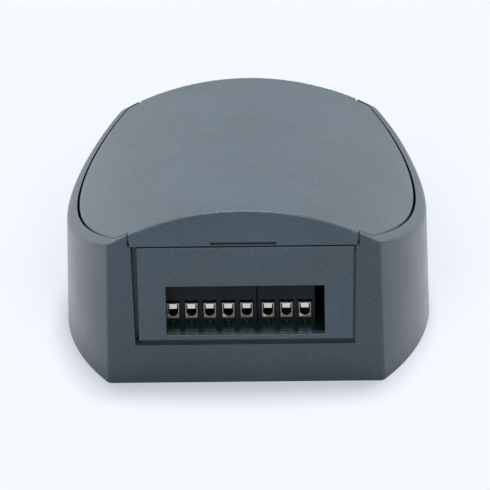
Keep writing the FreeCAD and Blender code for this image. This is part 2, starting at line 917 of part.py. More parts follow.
def terminal_contact(x):
    """Contact of one pole: bar in the cage, upturned front, rear leg, lower limb and two pins."""
    half = bar_width / 2
    flange_front = cage_front_y - bar_flange_gap - bar_flange_thickness
    flange_rear = flange_front + bar_flange_thickness
    bar = box(x - half, x + half, flange_front, leg_rear_y, bar_bottom, bar_top)
    flange = box(x - half, x + half, flange_front, flange_rear, bar_bottom, cage_top - bar_flange_gap)
    limb_bottom = board_top + limb_rise
    leg = box(x - half, x + half, leg_front_y, leg_rear_y, limb_bottom, bar_top)
    (front0, front1), (rear0, rear1) = contact_pin_spans()
    half_limb = limb_width / 2
    limb = box(x - half_limb, x + half_limb, front0, leg_rear_y, limb_bottom, limb_bottom + limb_thickness)
    half_pin = pin_width / 2
    front_pin = box(x - half_pin, x + half_pin, front0, front1, lead_end, limb_bottom + limb_thickness)
    rear_pin = box(x - half_pin, x + half_pin, rear0, rear1, lead_end, limb_bottom + limb_thickness)
    return joined(bar, flange, leg, limb, front_pin, rear_pin)


def clamp_cage(x):
    """Cage that the screw draws up: round-bottomed mouth and a threaded roof."""
    half = cage_width / 2
    body = box(x - half, x + half, cage_front_y, cage_rear_y, cage_bottom, cage_top)
    mouth_z = cage_bottom + cage_bottom_wall + cage_mouth_radius
    mouth = rod_along_y(x, cage_front_y - OVERCUT, cage_rear_y + OVERCUT, mouth_z, cage_mouth_radius)
    slot = box(
        x - cage_mouth_radius,
        x + cage_mouth_radius,
        cage_front_y - OVERCUT,
        cage_rear_y + OVERCUT,
        mouth_z,
        cage_top - cage_top_wall,
    )
    thread = rod(x, clamp_y, mouth_z, height, clamp_thread_radius + clamp_thread_clearance)
    return body.cut([mouth, slot, thread])


def clamp_screw(x):
    """Slotted clamp screw, its head under the top of the block."""
    shank = rod(x, clamp_y, bar_top + clamp_end_gap, clamp_head_bottom, clamp_thread_radius)
    head_top = clamp_head_bottom + clamp_head_height
    head = rod(x, clamp_y, clamp_head_bottom, head_top, clamp_head_radius)
    slot = centred_box(
        x, clamp_y, 2 * clamp_head_radius + OVERCUT, driver_slot_width, head_top - driver_slot_depth, height
    )
    return joined(shank, head).cut(slot)


def relay(x0):
    """Sealed relay with five leads."""
    relay_rear_y = relay_front_y + relay_length
    top = board_top + relay_height
    body = box(x0, x0 + relay_width, relay_front_y, relay_rear_y, board_top, top)
    body = body.makeFillet(case_round, upright_edges(body) + edges_in_plane_z(body, top))
    middle = x0 + relay_width / 2
    side = relay_width / 2 - relay_lead_inset
    front = relay_front_y + relay_lead_inset
    rear = relay_rear_y - relay_lead_inset
    places = [(middle, front), (middle - side, rear), (middle + side, rear)]
    places += [(middle, rear - relay_lead_spacing), (middle, rear - 2 * relay_lead_spacing)]
    return joined(body, *[lead(x, y, board_top) for x, y in places])


def mains_transformer():
    """Potted transformer with four leads."""
    y0 = transformer_front_y
    y1 = y0 + transformer_length
    x0 = transformer_x - transformer_width / 2
    x1 = transformer_x + transformer_width / 2
    top = board_top + transformer_height
    body = box(x0, x1, y0, y1, board_top, top)
    body = body.makeFillet(2 * case_round, upright_edges(body))
    body = body.makeFillet(case_round, edges_in_plane_z(body, top))
    lead_x = (x0 + transformer_lead_inset, x1 - transformer_lead_inset)
    lead_y = (y0 + transformer_lead_inset, y1 - transformer_lead_inset)
    return joined(body, *[lead(x, y, board_top) for x in lead_x for y in lead_y])


def fuse_middle_y():
    """Y of the middle of the fuse, level with the front half of the relays."""
    return relay_front_y + fuse_setback + fuse_length / 2


def fuse_tube():
    """Open glass tube between the two end caps."""
    y = fuse_middle_y()
    z = board_top + fuse_height
    half = fuse_length / 2 - fuse_cap_wall
    outer = fuse_radius - fuse_cap_wall
    tube = rod_along_y(fuse_x, y - half, y + half, z, outer)
    return tube.cut(rod_along_y(fuse_x, y - half - OVERCUT, y + half + OVERCUT, z, outer - fuse_glass_wall))


def fuse_caps():
    """Metal cup on each end of the glass tube."""
    y = fuse_middle_y()
    z = board_top + fuse_height
    caps = []
    for side in (-1, 1):
        outer_end = y + side * fuse_length / 2
        inner_end = outer_end - side * fuse_cap_length
        floor_y = outer_end - side * fuse_cap_wall
        near, far = sorted((outer_end, inner_end))
        cup_near, cup_far = sorted((floor_y, inner_end - side))
        cap = rod_along_y(fuse_x, near, far, z, fuse_radius)
        caps.append(cap.cut(rod_along_y(fuse_x, cup_near, cup_far, z, fuse_radius - fuse_cap_wall)))
    return Part.makeCompound(caps)


def fuse_clips():
    """Sprung clip under each cap, with one lead each."""
    y = fuse_middle_y()
    z = board_top + fuse_height
    clips = []
    inner = fuse_radius + clip_clearance
    outer = inner + clip_thickness
    for side in (-1, 1):
        middle = y + side * (fuse_length / 2 - fuse_cap_length / 2)
        y0 = middle - clip_width / 2
        y1 = middle + clip_width / 2
        ring = rod_along_y(fuse_x, y0, y1, z, outer)
        arms = box(fuse_x - outer, fuse_x + outer, y0, y1, z, z + inner / 2)
        foot = box(fuse_x - outer, fuse_x + outer, y0, y1, board_top, board_top + clip_thickness)
        neck = box(fuse_x - inner / 2, fuse_x + inner / 2, y0, y1, board_top, z)
        bore = rod_along_y(fuse_x, y0 - OVERCUT, y1 + OVERCUT, z, inner)
        mouth = box(fuse_x - inner, fuse_x + inner, y0 - OVERCUT, y1 + OVERCUT, z, height)
        above = box(fuse_x - 2 * outer, fuse_x + 2 * outer, y0 - OVERCUT, y1 + OVERCUT, z + inner / 2, height)
        clip = ring.fuse([arms, foot, neck]).cut([bore, mouth, above])
        clips.append(joined(clip, lead(fuse_x, middle, board_top + clip_thickness)))
    return Part.makeCompound(clips)


def varistor():
    """Coated disc on two leads, standing across the board."""
    z = board_top + disc_lift + varistor_radius
    half = varistor_thickness / 2
    disc = rod_along_x(varistor_x - half, varistor_x + half, varistor_y, z, varistor_radius)
    rims = [edge for edge in disc.Edges if isinstance(edge.Curve, Part.Circle)]
    disc = disc.makeFillet(half * coating_round, rims)
    lead_y = (varistor_y - varistor_pitch / 2, varistor_y + varistor_pitch / 2)
    return joined(disc, *[lead(varistor_x, y, z) for y in lead_y])


def suppression_capacitor():
    """Box film capacitor across the mains."""
    top = board_top + suppressor_height
    body = centred_box(suppressor_x, suppressor_y, suppressor_width, suppressor_length, board_top, top)
    body = body.makeFillet(case_round / 2, upright_edges(body) + edges_in_plane_z(body, top))
    half_pitch = suppressor_length / 2 - suppressor_lead_inset
    leads = [lead(suppressor_x, suppressor_y + side * half_pitch, board_top) for side in (-1, 1)]
    return joined(body, *leads)


def bridge_rectifier():
    """Round rectifier on four leads."""
    bottom = board_top + axial_lift
    body = rod(rectifier_x, rectifier_y, bottom, bottom + rectifier_height, rectifier_radius)
    body = body.makeFillet(case_round / 2, edges_in_plane_z(body, bottom + rectifier_height))
    reach = rectifier_radius - rectifier_lead_inset
    places = [(reach, 0), (-reach, 0), (0, reach), (0, -reach)]
    return joined(body, *[lead(rectifier_x + dx, rectifier_y + dy, bottom) for dx, dy in places])


def smoothing_capacitors():
    """Two electrolytic cans."""
    cans = []
    for radius, tall, y in zip(smoother_radii, smoother_heights, smoother_y):
        top = board_top + tall
        can = rod(smoother_x, y, board_top, top, radius)
        can = can.makeFillet(case_round, edges_in_plane_z(can, top))
        ring_radius = radius + smoother_groove_radius - smoother_groove_depth
        middle = Vector(smoother_x, y, board_top + smoother_groove_height)
        can = can.cut(Part.makeTorus(ring_radius, smoother_groove_radius, middle))
        lead_x = (smoother_x - radius / 2, smoother_x + radius / 2)
        cans.append(joined(can, *[lead(x, y, board_top) for x in lead_x]))
    return Part.makeCompound(cans)


def voltage_regulator():
    """Upright regulator with a metal tab and three leads."""
    body_bottom = board_top + regulator_lift
    body = centred_box(
        regulator_x,
        regulator_y - regulator_thickness / 2,
        regulator_width,
        regulator_thickness,
        body_bottom,
        body_bottom + regulator_body_height,
    )
    tab = centred_box(
        regulator_x,
        regulator_y - regulator_tab_thickness / 2,
        regulator_width,
        regulator_tab_thickness,
        body_bottom,
        body_bottom + regulator_height,
    )
    hole_z = body_bottom + regulator_height - regulator_hole_drop
    hole_front = regulator_y - 2 * regulator_thickness
    hole = rod_along_y(regulator_x, hole_front, regulator_y + OVERCUT, hole_z, regulator_hole_radius)
    lead_y = regulator_y - regulator_thickness / 2
    leads = [lead(regulator_x + i * chip_pin_spacing, lead_y, body_bottom) for i in (-1, 0, 1)]
    return joined(body, tab, *leads).cut(hole)


def microcontroller():
    """Chip in a long case with two rows of leads."""
    bottom = board_top + chip_lift
    body = centred_box(chip_x, chip_y, chip_width, chip_length, bottom, bottom + chip_height)
    notch_bottom = bottom + chip_height - chip_notch_depth
    notch = rod(chip_x, chip_y + chip_length / 2, notch_bottom, height, chip_notch_radius)
    body = body.cut(notch)
    pieces = []
    middle_z = bottom + chip_height / 2
    half_pin = chip_pin_width / 2
    half_sheet = chip_pin_thickness / 2
    for i in range(chip_pins_a_side):
        y = chip_y + (i - (chip_pins_a_side - 1) / 2) * chip_pin_spacing
        for side in (-1, 1):
            x = chip_x + side * chip_row_spacing / 2
            root = chip_x + side * (chip_width / 2 - chip_pin_thickness)
            x0, x1 = sorted((x + side * half_sheet, root))
            z0 = middle_z - half_sheet
            pieces.append(box(x0, x1, y - half_pin, y + half_pin, z0, z0 + chip_pin_thickness))
            pieces.append(lead(x, y, middle_z, chip_lead_radius))
    return joined(body, *pieces)


def crystal():
    """Flat crystal can with rounded ends."""
    top = board_top + crystal_height
    body = centred_box(crystal_x, crystal_y, crystal_length, crystal_width, board_top, top)
    body = body.makeFillet(crystal_corner_round, upright_edges(body))
    half_pitch = crystal_length / 2 - crystal_lead_inset
    lead_x = (crystal_x - half_pitch, crystal_x + half_pitch)
    return joined(body, *[lead(x, crystal_y, board_top) for x in lead_x])


def radio_pin_places():
    """Y of each pin between the radio board and the main board."""
    return [radio_board_y + (i - (radio_pins - 1) / 2) * chip_pin_spacing for i in range(radio_pins)]


def radio_pin_z():
    """Height at which the header's pins enter the radio board."""
    return board_top + radio_strip_height / 2


def radio_board():
    """Small upright board that carries the receiver."""
    x0 = radio_board_x - radio_board_thickness / 2
    x1 = radio_board_x + radio_board_thickness / 2
    half = radio_board_length / 2
    board = box(x0, x1, radio_board_y - half, radio_board_y + half, board_top, board_top + radio_board_height)
    reach = radio_pin_size / 2 + lead_clearance
    z = radio_pin_z()
    holes = []
    for y in radio_pin_places():
        holes.append(box(x0 - OVERCUT, x1 + OVERCUT, y - reach, y + reach, z - reach, z + reach))
    antenna_hole = antenna_radius + antenna_clip_clearance
    holes.append(rod_along_x(x0 - OVERCUT, x1 + OVERCUT, antenna_joint_y(), antenna_z(), antenna_hole))
    return board.cut(holes)


def radio_header():
    """Right-angled pin header that joins the two boards."""
    x0 = radio_board_x + radio_board_thickness / 2
    strip_length = radio_pins * chip_pin_spacing
    strip = box(
        x0,
        x0 + radio_strip_width,
        radio_board_y - strip_length / 2,
        radio_board_y + strip_length / 2,
        board_top,
        board_top + radio_strip_height,
    )
    pieces = []
    half = radio_pin_size / 2
    z = radio_pin_z()
    down_x = x0 + radio_strip_width / 2
    for y in radio_pin_places():
        tip = radio_board_x - radio_board_thickness / 2 - radio_pin_size
        pieces.append(box(tip, down_x + half, y - half, y + half, z - half, z + half))
        pieces.append(lead(down_x, y, z, half))
    return joined(strip, *pieces)


def can_span():
    """Corners of the shield can on the inner face of the radio board."""
    x0 = radio_board_x + radio_board_thickness / 2
    z1 = board_top + radio_board_height - can_drop
    y0 = radio_board_y - can_length / 2
    return x0, x0 + can_thickness, y0, y0 + can_length, z1 - can_height, z1


def radio_shield_can():
    """Folded metal can over the receiver."""
    x0, x1, y0, y1, z0, z1 = can_span()
    can = box(x0, x1, y0, y1, z0, z1)
    t = can_sheet
    return can.cut(box(x0 - OVERCUT, x1 - t, y0 + t, y1 - t, z0 + t, z1 - t))


def radio_chip():
    """Receiver chip under the shield can."""
    x0, _, y0, y1, z0, z1 = can_span()
    y = (y0 + y1) / 2
    z = (z0 + z1) / 2
    half = radio_chip_size / 2
    return box(x0, x0 + radio_chip_thickness, y - half, y + half, z - half, z + half)


def antenna_z():
    """Height of the antenna wire."""
    return board_top + antenna_height


def antenna_joint_y():
    """Y at which the antenna wire is soldered into the radio board."""
    return radio_board_y + radio_board_length / 2 - antenna_joint_inset


def antenna_wire():
    """Wire from the radio board to the rear edge and along it."""
    z = antenna_z()
    start = Vector(radio_board_x - radio_board_thickness / 2 - antenna_tail, antenna_joint_y(), z)
    first_bend = Vector(radio_board_x + antenna_bend_x[0], antenna_joint_y(), z)
    second_bend = Vector(radio_board_x + antenna_bend_x[1], antenna_y, z)
    end = Vector(antenna_end_x, antenna_y, z)
    return tube_through([start, first_bend, second_bend, end], antenna_radius, antenna_bend_radius)


def tube_through(points, radius, bend):
    """Round wire along straight runs joined by arcs of one radius."""
    edges = []
    at = points[0]
    for before, corner, after in zip(points, points[1:], points[2:]):
        inward = (before - corner).normalize()
        outward = (after - corner).normalize()
        half_turn = math.pi / 2 - inward.getAngle(outward) / 2
        step = bend * math.tan(half_turn)
        first = corner + inward * step
        last = corner + outward * step
        inside = (inward + outward).normalize()
        middle = corner + inside * (bend / math.cos(half_turn) - bend)
        edges.append(Part.LineSegment(at, first).toShape())
        edges.append(Part.Arc(first, middle, last).toShape())
        at = last
    edges.append(Part.LineSegment(at, points[-1]).toShape())
    path = Part.Wire(edges)
    start_way = points[1] - points[0]
    section = Part.Wire([Part.Circle(points[0], start_way, radius).toShape()])
    return path.makePipeShell([section], True, True)


def antenna_clips():
    """Plastic posts whose open hooks hold the antenna wire."""
    clips = []
    z = antenna_z()
    gap = antenna_radius + antenna_clip_clearance
    for x in antenna_clip_x:
        post = centred_box(x, antenna_y, antenna_clip_size, antenna_clip_size, board_top, z + antenna_radius)
        bore = rod_along_x(x - antenna_clip_size, x + antenna_clip_size, antenna_y, z, gap)
        mouth = centred_box(x, antenna_y, 2 * antenna_clip_size, 2 * gap, z, height)
        clips.append(post.cut([bore, mouth]))
    return Part.makeCompound(clips)


def button_housings():
    """Square housings of the two learn buttons."""
    housings = []
    bottom = board_top + button_floor
    top = board_top + button_housing_height
    roof_bottom = top - button_roof
    for y in button_y:
        body = centred_box(button_x, y, button_size, button_size, board_top, top)
        cavity = rod(button_x, y, bottom, roof_bottom, button_cavity_radius)
        hole = rod(button_x, y, roof_bottom - OVERCUT, height, button_radius + button_clearance)
        body = body.cut([cavity, hole])
        reach = button_size / 2 - button_lead_inset
        corners = [(button_x + sx * reach, y + sy * reach) for sx in (-1, 1) for sy in (-1, 1)]
        housings.append(joined(body, *[lead(cx, cy, board_top) for cx, cy in corners]))
    return Part.makeCompound(housings)


def button_domes():
    """Sprung metal dome under each button."""
    domes = []
    bottom = board_top + button_floor
    outer = button_cavity_radius - button_clearance
    inner = outer / 3
    rise = learn_button_bottom() - button_travel - button_clearance - bottom
    for y in button_y:
        at = Vector(button_x, y, bottom)
        dome = Part.makeCone(outer, inner, rise, at)
        under = Part.makeCone(outer - 2 * button_dome_sheet, inner, rise - button_dome_sheet, at)
        domes.append(dome.cut(under))
    return Part.makeCompound(domes)


def learn_button_bottom():
    """Height of the underside of a released button."""
    return board_top + button_housing_height - button_roof - button_clearance - button_flange_height


def learn_button(y):
    """Plunger with the flange that keeps it in its housing."""
    bottom = learn_button_bottom()
    stem = rod(button_x, y, bottom, board_top + button_top, button_radius)
    flange = rod(button_x, y, bottom, bottom + button_flange_height, button_flange_radius)
    return joined(stem, flange)


def status_leds():
    """Two small round lamps."""
    lamps = []
    dome_z = board_top + led_height - led_radius
    for y in led_y:
        flange = rod(led_x, y, board_top, board_top + led_flange_height, led_flange_radius)
        stem = rod(led_x, y, board_top, dome_z, led_radius)
        dome = Part.makeSphere(led_radius, Vector(led_x, y, dome_z))
        lead_x = (led_x - led_lead_spacing / 2, led_x + led_lead_spacing / 2)
        leads = [lead(x, y, board_top, axial_lead_radius) for x in lead_x]
        lamps.append(joined(flange, stem, dome, *leads))
    return Part.makeCompound(lamps)


def relay_transistors():
    """Two flat-sided transistors that switch the relays."""
    parts = []
    bottom = board_top + transistor_lift
    x = transistor_x
    for y in transistor_y:
        body = rod(x, y, bottom, bottom + transistor_height, transistor_radius)
        flat = y - transistor_flat
        body = body.cut(box(x - FAR, x + FAR, y - FAR, flat, 0, height))
        leads = [lead(x + i * transistor_pitch, y, bottom, axial_lead_radius) for i in (-1, 0, 1)]
        parts.append(joined(body, *leads))
    return Part.makeCompound(parts)


def axial_part(x, y, length, radius, along_x):
    """Body between two leads that turn down into the board."""
    z = board_top + axial_lift + radius
    half = length / 2
    half_pitch = axial_pitch / 2
    if along_x:
        body = rod_along_x(x - half, x + half, y, z, radius)
        wire = rod_along_x(x - half_pitch, x + half_pitch, y, z, axial_lead_radius)
        ends = [(x - half_pitch, y), (x + half_pitch, y)]
    else:
        body = rod_along_y(x, y - half, y + half, z, radius)
        wire = rod_along_y(x, y - half_pitch, y + half_pitch, z, axial_lead_radius)
        ends = [(x, y - half_pitch), (x, y + half_pitch)]
    elbows = [Part.makeSphere(axial_lead_radius, Vector(ex, ey, z)) for ex, ey in ends]
    legs = [lead(ex, ey, z, axial_lead_radius) for ex, ey in ends]
    return joined(body, wire, *elbows, *legs)


def resistor_places():
    """Plan position of each resistor, and whether it lies along X."""
    places = [(rear_resistor_x, y, False) for y in rear_resistor_y]
    places += [(front_resistor_x, y, False) for y in front_resistor_y]
    behind_relay = relay_front_y + relay_length + resistor_row_gap
    places.append((relay_left_x + relay_width / 2, behind_relay, True))
    return places


def resistors():
    """Fixed resistors."""
    return Part.makeCompound(
        [axial_part(x, y, resistor_length, resistor_radius, along) for x, y, along in resistor_places()]
    )


def diodes():
    """Free-wheel diodes in the gap between the relays."""
    gap_x = relay_left_x + (relay_width + relay_spacing) / 2
    return Part.makeCompound([axial_part(gap_x, y, diode_length, diode_radius, False) for y in diode_y])


def ceramic_capacitors():
    """Small disc capacitors near the chip and the radio board."""
    discs = []
    z = board_top + disc_lift + disc_radius
    half = disc_thickness / 2
    half_pitch = disc_pitch / 2
    for x, y in zip(ceramic_x, ceramic_y):
        disc = rod_along_y(x, y - half, y + half, z, disc_radius)
        discs.append(joined(disc, lead(x - half_pitch, y, z), lead(x + half_pitch, y, z)))
    return Part.makeCompound(discs)


def build():
    """Every node of the module by name."""
    nodes = {}
    nodes["relay_1"] = relay(relay_left_x)
    nodes["relay_2"] = relay(relay_left_x + relay_spacing)
    nodes["mains_transformer"] = mains_transformer()
    nodes["fuse_tube"] = fuse_tube()
    nodes["fuse_caps"] = fuse_caps()
    nodes["fuse_clips"] = fuse_clips()
    nodes["varistor"] = varistor()
    nodes["suppression_capacitor"] = suppression_capacitor()
    nodes["bridge_rectifier"] = bridge_rectifier()
    nodes["smoothing_capacitors"] = smoothing_capacitors()
    nodes["voltage_regulator"] = voltage_regulator()
    nodes["microcontroller"] = microcontroller()
    nodes["crystal"] = crystal()
    nodes["radio_board"] = radio_board()
    nodes["radio_header"] = radio_header()
    nodes["radio_chip"] = radio_chip()
    nodes["radio_shield_can"] = radio_shield_can()
    nodes["antenna_wire"] = antenna_wire()
    nodes["antenna_clips"] = antenna_clips()
    nodes["button_housings"] = button_housings()
    nodes["button_domes"] = button_domes()
    for i, y in enumerate(button_y, 1):
        nodes[f"learn_button_{i}"] = learn_button(y)
    nodes["status_leds"] = status_leds()
    nodes["relay_transistors"] = relay_transistors()
    nodes["resistors"] = resistors()
    nodes["diodes"] = diodes()
    nodes["ceramic_capacitors"] = ceramic_capacitors()
    for poles in pole_rows():
        nodes[f"terminal_block_{len(poles)}way"] = terminal_block(poles)
    nodes["terminal_contacts"] = Part.makeCompound([terminal_contact(x) for x in all_poles()])
    for i, x in enumerate(all_poles(), 1):
        nodes[f"clamp_cage_{i}"] = clamp_cage(x)
        nodes[f"clamp_screw_{i}"] = clamp_screw(x)
    nodes["circuit_board"] = circuit_board()
    nodes["board_screws"] = board_screws()
    nodes["base_shell"] = base_shell()
    nodes["top_cover"] = top_cover()
    nodes["terminal_cover_plate"] = terminal_cover_plate()
    return nodes


def main():
    os.makedirs("parts", exist_ok=True)
    for name, shape in build().items():
        shape.exportStep(f"parts/{name}.step")
        print(name, len(shape.Solids), "valid" if shape.isValid() else "NOT VALID", round(shape.Volume, 1))


main()
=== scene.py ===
import json
import logging
import math
from dataclasses import dataclass
from enum import Enum
from typing import Callable

import bmesh
import bpy
from mathutils import Matrix, Vector


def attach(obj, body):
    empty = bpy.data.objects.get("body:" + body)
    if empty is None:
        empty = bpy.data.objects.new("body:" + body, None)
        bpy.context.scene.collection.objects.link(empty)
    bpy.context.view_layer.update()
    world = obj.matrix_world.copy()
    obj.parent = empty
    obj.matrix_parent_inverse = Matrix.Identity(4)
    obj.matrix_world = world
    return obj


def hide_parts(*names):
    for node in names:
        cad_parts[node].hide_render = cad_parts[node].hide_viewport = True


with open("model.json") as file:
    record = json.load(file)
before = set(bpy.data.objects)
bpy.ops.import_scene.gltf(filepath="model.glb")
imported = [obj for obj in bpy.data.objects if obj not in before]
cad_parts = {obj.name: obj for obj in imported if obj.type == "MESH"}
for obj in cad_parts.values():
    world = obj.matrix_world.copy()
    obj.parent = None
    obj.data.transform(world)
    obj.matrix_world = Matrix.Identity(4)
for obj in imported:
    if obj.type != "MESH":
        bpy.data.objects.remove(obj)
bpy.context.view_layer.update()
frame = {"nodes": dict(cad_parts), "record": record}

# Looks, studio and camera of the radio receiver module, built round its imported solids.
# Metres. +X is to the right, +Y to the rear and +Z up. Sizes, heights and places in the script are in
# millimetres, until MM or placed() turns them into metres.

MM = 0.001
# Height of the circuit board's upper face, on which the parts stand.
BOARD_TOP = 13.95
# Greatest turn between two triangles of a flat face, and least turn that counts as an edge.
FLAT, SHARP = math.radians(0.1), math.radians(30.0)
# Least Z of the normal of a level face, and how near to a height it has to lie.
LEVEL, NEAR = 0.99, 0.05
# Limits for the Z of a normal: of a face that looks down, of an upright one, and of one that looks up.
DOWN, UPRIGHT, UP = -0.9, 0.7, 0.3
# Least distance at which two corners count as apart: in the CAD's triangles, and in a turned shape.
APART, APART_TURNED = 1e-6, 1e-7
# Width of the sloping wall of a recess.
RECESS_WALL = 0.08
# Range that holds nearly all values of a noise pattern.
NOISE_LOW, NOISE_HIGH = 0.3, 0.7

log = logging.getLogger("receiver")
Colour = tuple[float, float, float, float]
Place = tuple[float, float, float]
Profile = list[tuple[float, float]]
Mesh = bmesh.types.BMesh
Socket = bpy.types.NodeSocket
FaceTest = Callable[[Vector, Vector], bool]


class Axis(Enum):
    """Directions that a turned shape or a board stands in."""

    X = (1.0, 0.0, 0.0)
    Y = (0.0, 1.0, 0.0)
    Z = (0.0, 0.0, 1.0)


# Colour and nodes


def linear(code: str, factor: float = 1.0) -> Colour:
    """Turns an sRGB colour into linear light.

    Args:
        code: Colour as #RRGGBB.
        factor: What the light is multiplied by.

    Returns:
        Linear red, green and blue, and full opacity.
    """
    parts = [int(code[i : i + 2], 16) / 255 for i in (1, 3, 5)]
    light = [part / 12.92 if part <= 0.04045 else ((part + 0.055) / 1.055) ** 2.4 for part in parts]
    return (*(min(part * factor, 1.0) for part in light), 1.0)


@dataclass
class Graph:
    """Node tree with short ways to add to it."""

    tree: bpy.types.NodeTree  # the node tree

    def put(self, node: bpy.types.Node, inputs: dict) -> None:
        """Links outputs to a node's inputs, or sets the inputs to values.

        Args:
            node: Node of the tree.
            inputs: Outputs or values by input name or index.
        """
        for name, value in inputs.items():
            if isinstance(value, Socket):
                self.tree.links.new(value, node.inputs[name])
            else:
                node.inputs[name].default_value = value

    def add(self, kind: str, inputs: dict | None = None, **settings: object) -> bpy.types.Node:
        """Adds a shader node.

        Args:
            kind: Blender's type of the node.
            inputs: Outputs or values by input name or index.
            **settings: Properties of the node itself.

        Returns:
            The new node.
        """
        node = self.tree.nodes.new(kind)
        for name, value in settings.items():
            setattr(node, name, value)
        self.put(node, inputs or {})
        return node

    def mix(self, share: Socket, first: Socket | Colour, second: Socket | Colour) -> Socket:
        """Mixes two colours by a share that varies from 0 to 1."""
        return self.add("ShaderNodeMix", {0: share, 6: first, 7: second}, data_type="RGBA").outputs[2]

    def maths(self, operation: str, *terms: Socket | float) -> Socket:
        """Result of a sum on outputs and numbers."""
        return self.add("ShaderNodeMath", dict(enumerate(terms)), operation=operation).outputs[0]

    def remap(self, value: Socket, low: float, high: float, start: float = 0.0, end: float = 1.0) -> Socket:
        """Stretches a range of an output to run from a start to an end."""
        limits = {"From Min": low, "From Max": high, "To Min": start, "To Max": end}
        return self.add("ShaderNodeMapRange", {"Value": value, **limits}).outputs["Result"]


class Surface(Graph):
    """Node tree of a material, with its shader and its coordinates."""

    def __init__(self, material: bpy.types.Material) -> None:
        """Finds the shader and adds the coordinates.

        Args:
            material: The material, with nodes.
        """
        super().__init__(material.node_tree)
        self.shader = self.tree.nodes["Principled BSDF"]
        self.place = self.add("ShaderNodeTexCoord").outputs

    def shade(self, inputs: dict) -> None:
        """Links or sets inputs of the shader."""
        self.put(self.shader, inputs)

    def noise(self, size: float, detail: float) -> Socket:
        """Noise with grains of a size, and with some octaves of finer noise."""
        inputs = {"Scale": 1 / (size * MM), "Detail": detail, "Roughness": 0.55}
        return self.add("ShaderNodeTexNoise", {"Vector": self.place["Object"], **inputs}).outputs["Fac"]

    def spread(self, pattern: Socket) -> Socket:
        """Stretches a noise pattern to run from 0 to 1."""
        return self.remap(pattern, NOISE_LOW, NOISE_HIGH)


# Meshes


def placed(point: Place) -> Vector:
    """A point in millimetres as a vector in metres."""
    return Vector(point) * MM


def under(height: float) -> FaceTest:
    """Test for faces that lie below a height."""
    return lambda centre, normal: centre.z < height


def level_at(height: float) -> FaceTest:
    """Test for level faces that look up at a height."""
    return lambda centre, normal: normal.z > LEVEL and abs(centre.z - height) < NEAR


def picked(mesh: Mesh, test: FaceTest) -> list:
    """Faces whose centre in millimetres and normal pass a test."""
    return [face for face in mesh.faces if test(face.calc_center_median() / MM, face.normal)]


def turned(mesh: Mesh, profile: Profile, centre: Place, axis: Axis = Axis.Z, steps: int = 20) -> list:
    """Spins a profile into a turned shape.

    Args:
        mesh: Mesh that gets the shape.
        profile: Radius and height of each corner.
        centre: Point of the axis from which heights are counted.
        axis: Direction of the heights.
        steps: Number of steps round the shape.

    Returns:
        The new faces, which point outwards.
    """
    known = set(mesh.faces)
    along = Vector(axis.value)
    side = Vector(Axis.Y.value if axis is Axis.X else Axis.X.value)
    middle = placed(centre)
    corners = [mesh.verts.new(middle + (side * radius + along * height) * MM) for radius, height in profile]
    edges = [mesh.edges.new(pair) for pair in zip(corners, corners[1:])]
    bmesh.ops.spin(
        mesh, geom=corners + edges, cent=middle, axis=along, angle=math.tau, steps=steps, use_merge=True
    )
    verts = {vert for face in mesh.faces if face not in known for vert in face.verts}
    bmesh.ops.remove_doubles(mesh, verts=list(verts), dist=APART_TURNED)
    faces = [face for face in mesh.faces if face not in known]
    bmesh.ops.recalc_face_normals(mesh, faces=faces)
    return faces


def ease_edges(mesh: Mesh, edges: list, ease: float, segments: int = 2) -> None:
    """Rounds some edges.

    Args:
        mesh: Mesh to change.
        edges: Its edges to round.
        ease: Width of the rounding.
        segments: Steps across it.
    """
    bmesh.ops.bevel(
        mesh,
        geom=edges,
        offset=ease * MM,
        offset_type="OFFSET",
        segments=segments,
        profile=0.5,
        affect="EDGES",
        clamp_overlap=True,
        material=-1,
    )


def block(mesh: Mesh, low: Place, high: Place, ease: float, segments: int = 2) -> None:
    """Adds a block with eased edges.

    Args:
        mesh: Mesh that gets the block.
        low: Lowest corner.
        high: Highest corner.
        ease: Width of the eased edges.
        segments: Steps across an eased edge.
    """
    size = [top - bottom for bottom, top in zip(low, high)]
    middle = [(bottom + top) / 2 for bottom, top in zip(low, high)]
    place = Matrix.Translation(placed(middle)) @ Matrix.Diagonal((*placed(size), 1.0))
    made = bmesh.ops.create_cube(mesh, size=1.0, matrix=place)
    ease_edges(mesh, list({edge for vert in made["verts"] for edge in vert.link_edges}), ease, segments)


def recess(mesh: Mesh, test: FaceTest, margin: float, depth: float) -> None:
    """Sinks the middle of some faces, leaving a rim.

    Args:
        mesh: Mesh to change.
        test: Test that picks the faces.
        margin: Width of the rim.
        depth: Depth of the recess.
    """
    faces = picked(mesh, test)
    for width, sink in ((margin, 0.0), (RECESS_WALL, -depth)):
        bmesh.ops.inset_region(
            mesh, faces=faces, thickness=width * MM, depth=sink * MM, use_even_offset=False, use_boundary=True
        )


def merged_copy(node: str) -> Mesh:
    """Copies a CAD solid's mesh with its loose triangles merged into flat faces.

    Args:
        node: Node of the CAD model.

    Returns:
        The merged mesh, still in its place.
    """
    mesh = bmesh.new()
    mesh.from_mesh(frame["nodes"][node].data)
    bmesh.ops.remove_doubles(mesh, verts=mesh.verts, dist=APART)
    bmesh.ops.dissolve_limit(
        mesh, angle_limit=FLAT, verts=mesh.verts, edges=mesh.edges, use_dissolve_boundaries=False
    )
    return mesh


def eased_copy(node: str, ease: float) -> Mesh:
    """Copies a CAD solid's mesh and rounds its sharp edges.

    Args:
        node: Node of the CAD model.
        ease: Width of the rounding, 0 for none.

    Returns:
        The eased mesh, still in its place.
    """
    mesh = merged_copy(node)
    if ease > 0:
        inner = [edge for edge in mesh.edges if len(edge.link_faces) == 2]
        ease_edges(mesh, [edge for edge in inner if abs(edge.calc_face_angle_signed(0.0)) > SHARP], ease)
    return mesh


def extent(verts: list) -> tuple[Vector, Vector]:
    """Lowest and highest corners of some vertices."""
    places = [vert.co for vert in verts]
    return tuple(Vector([pick(place[i] for place in places) for i in range(3)]) / MM for pick in (min, max))


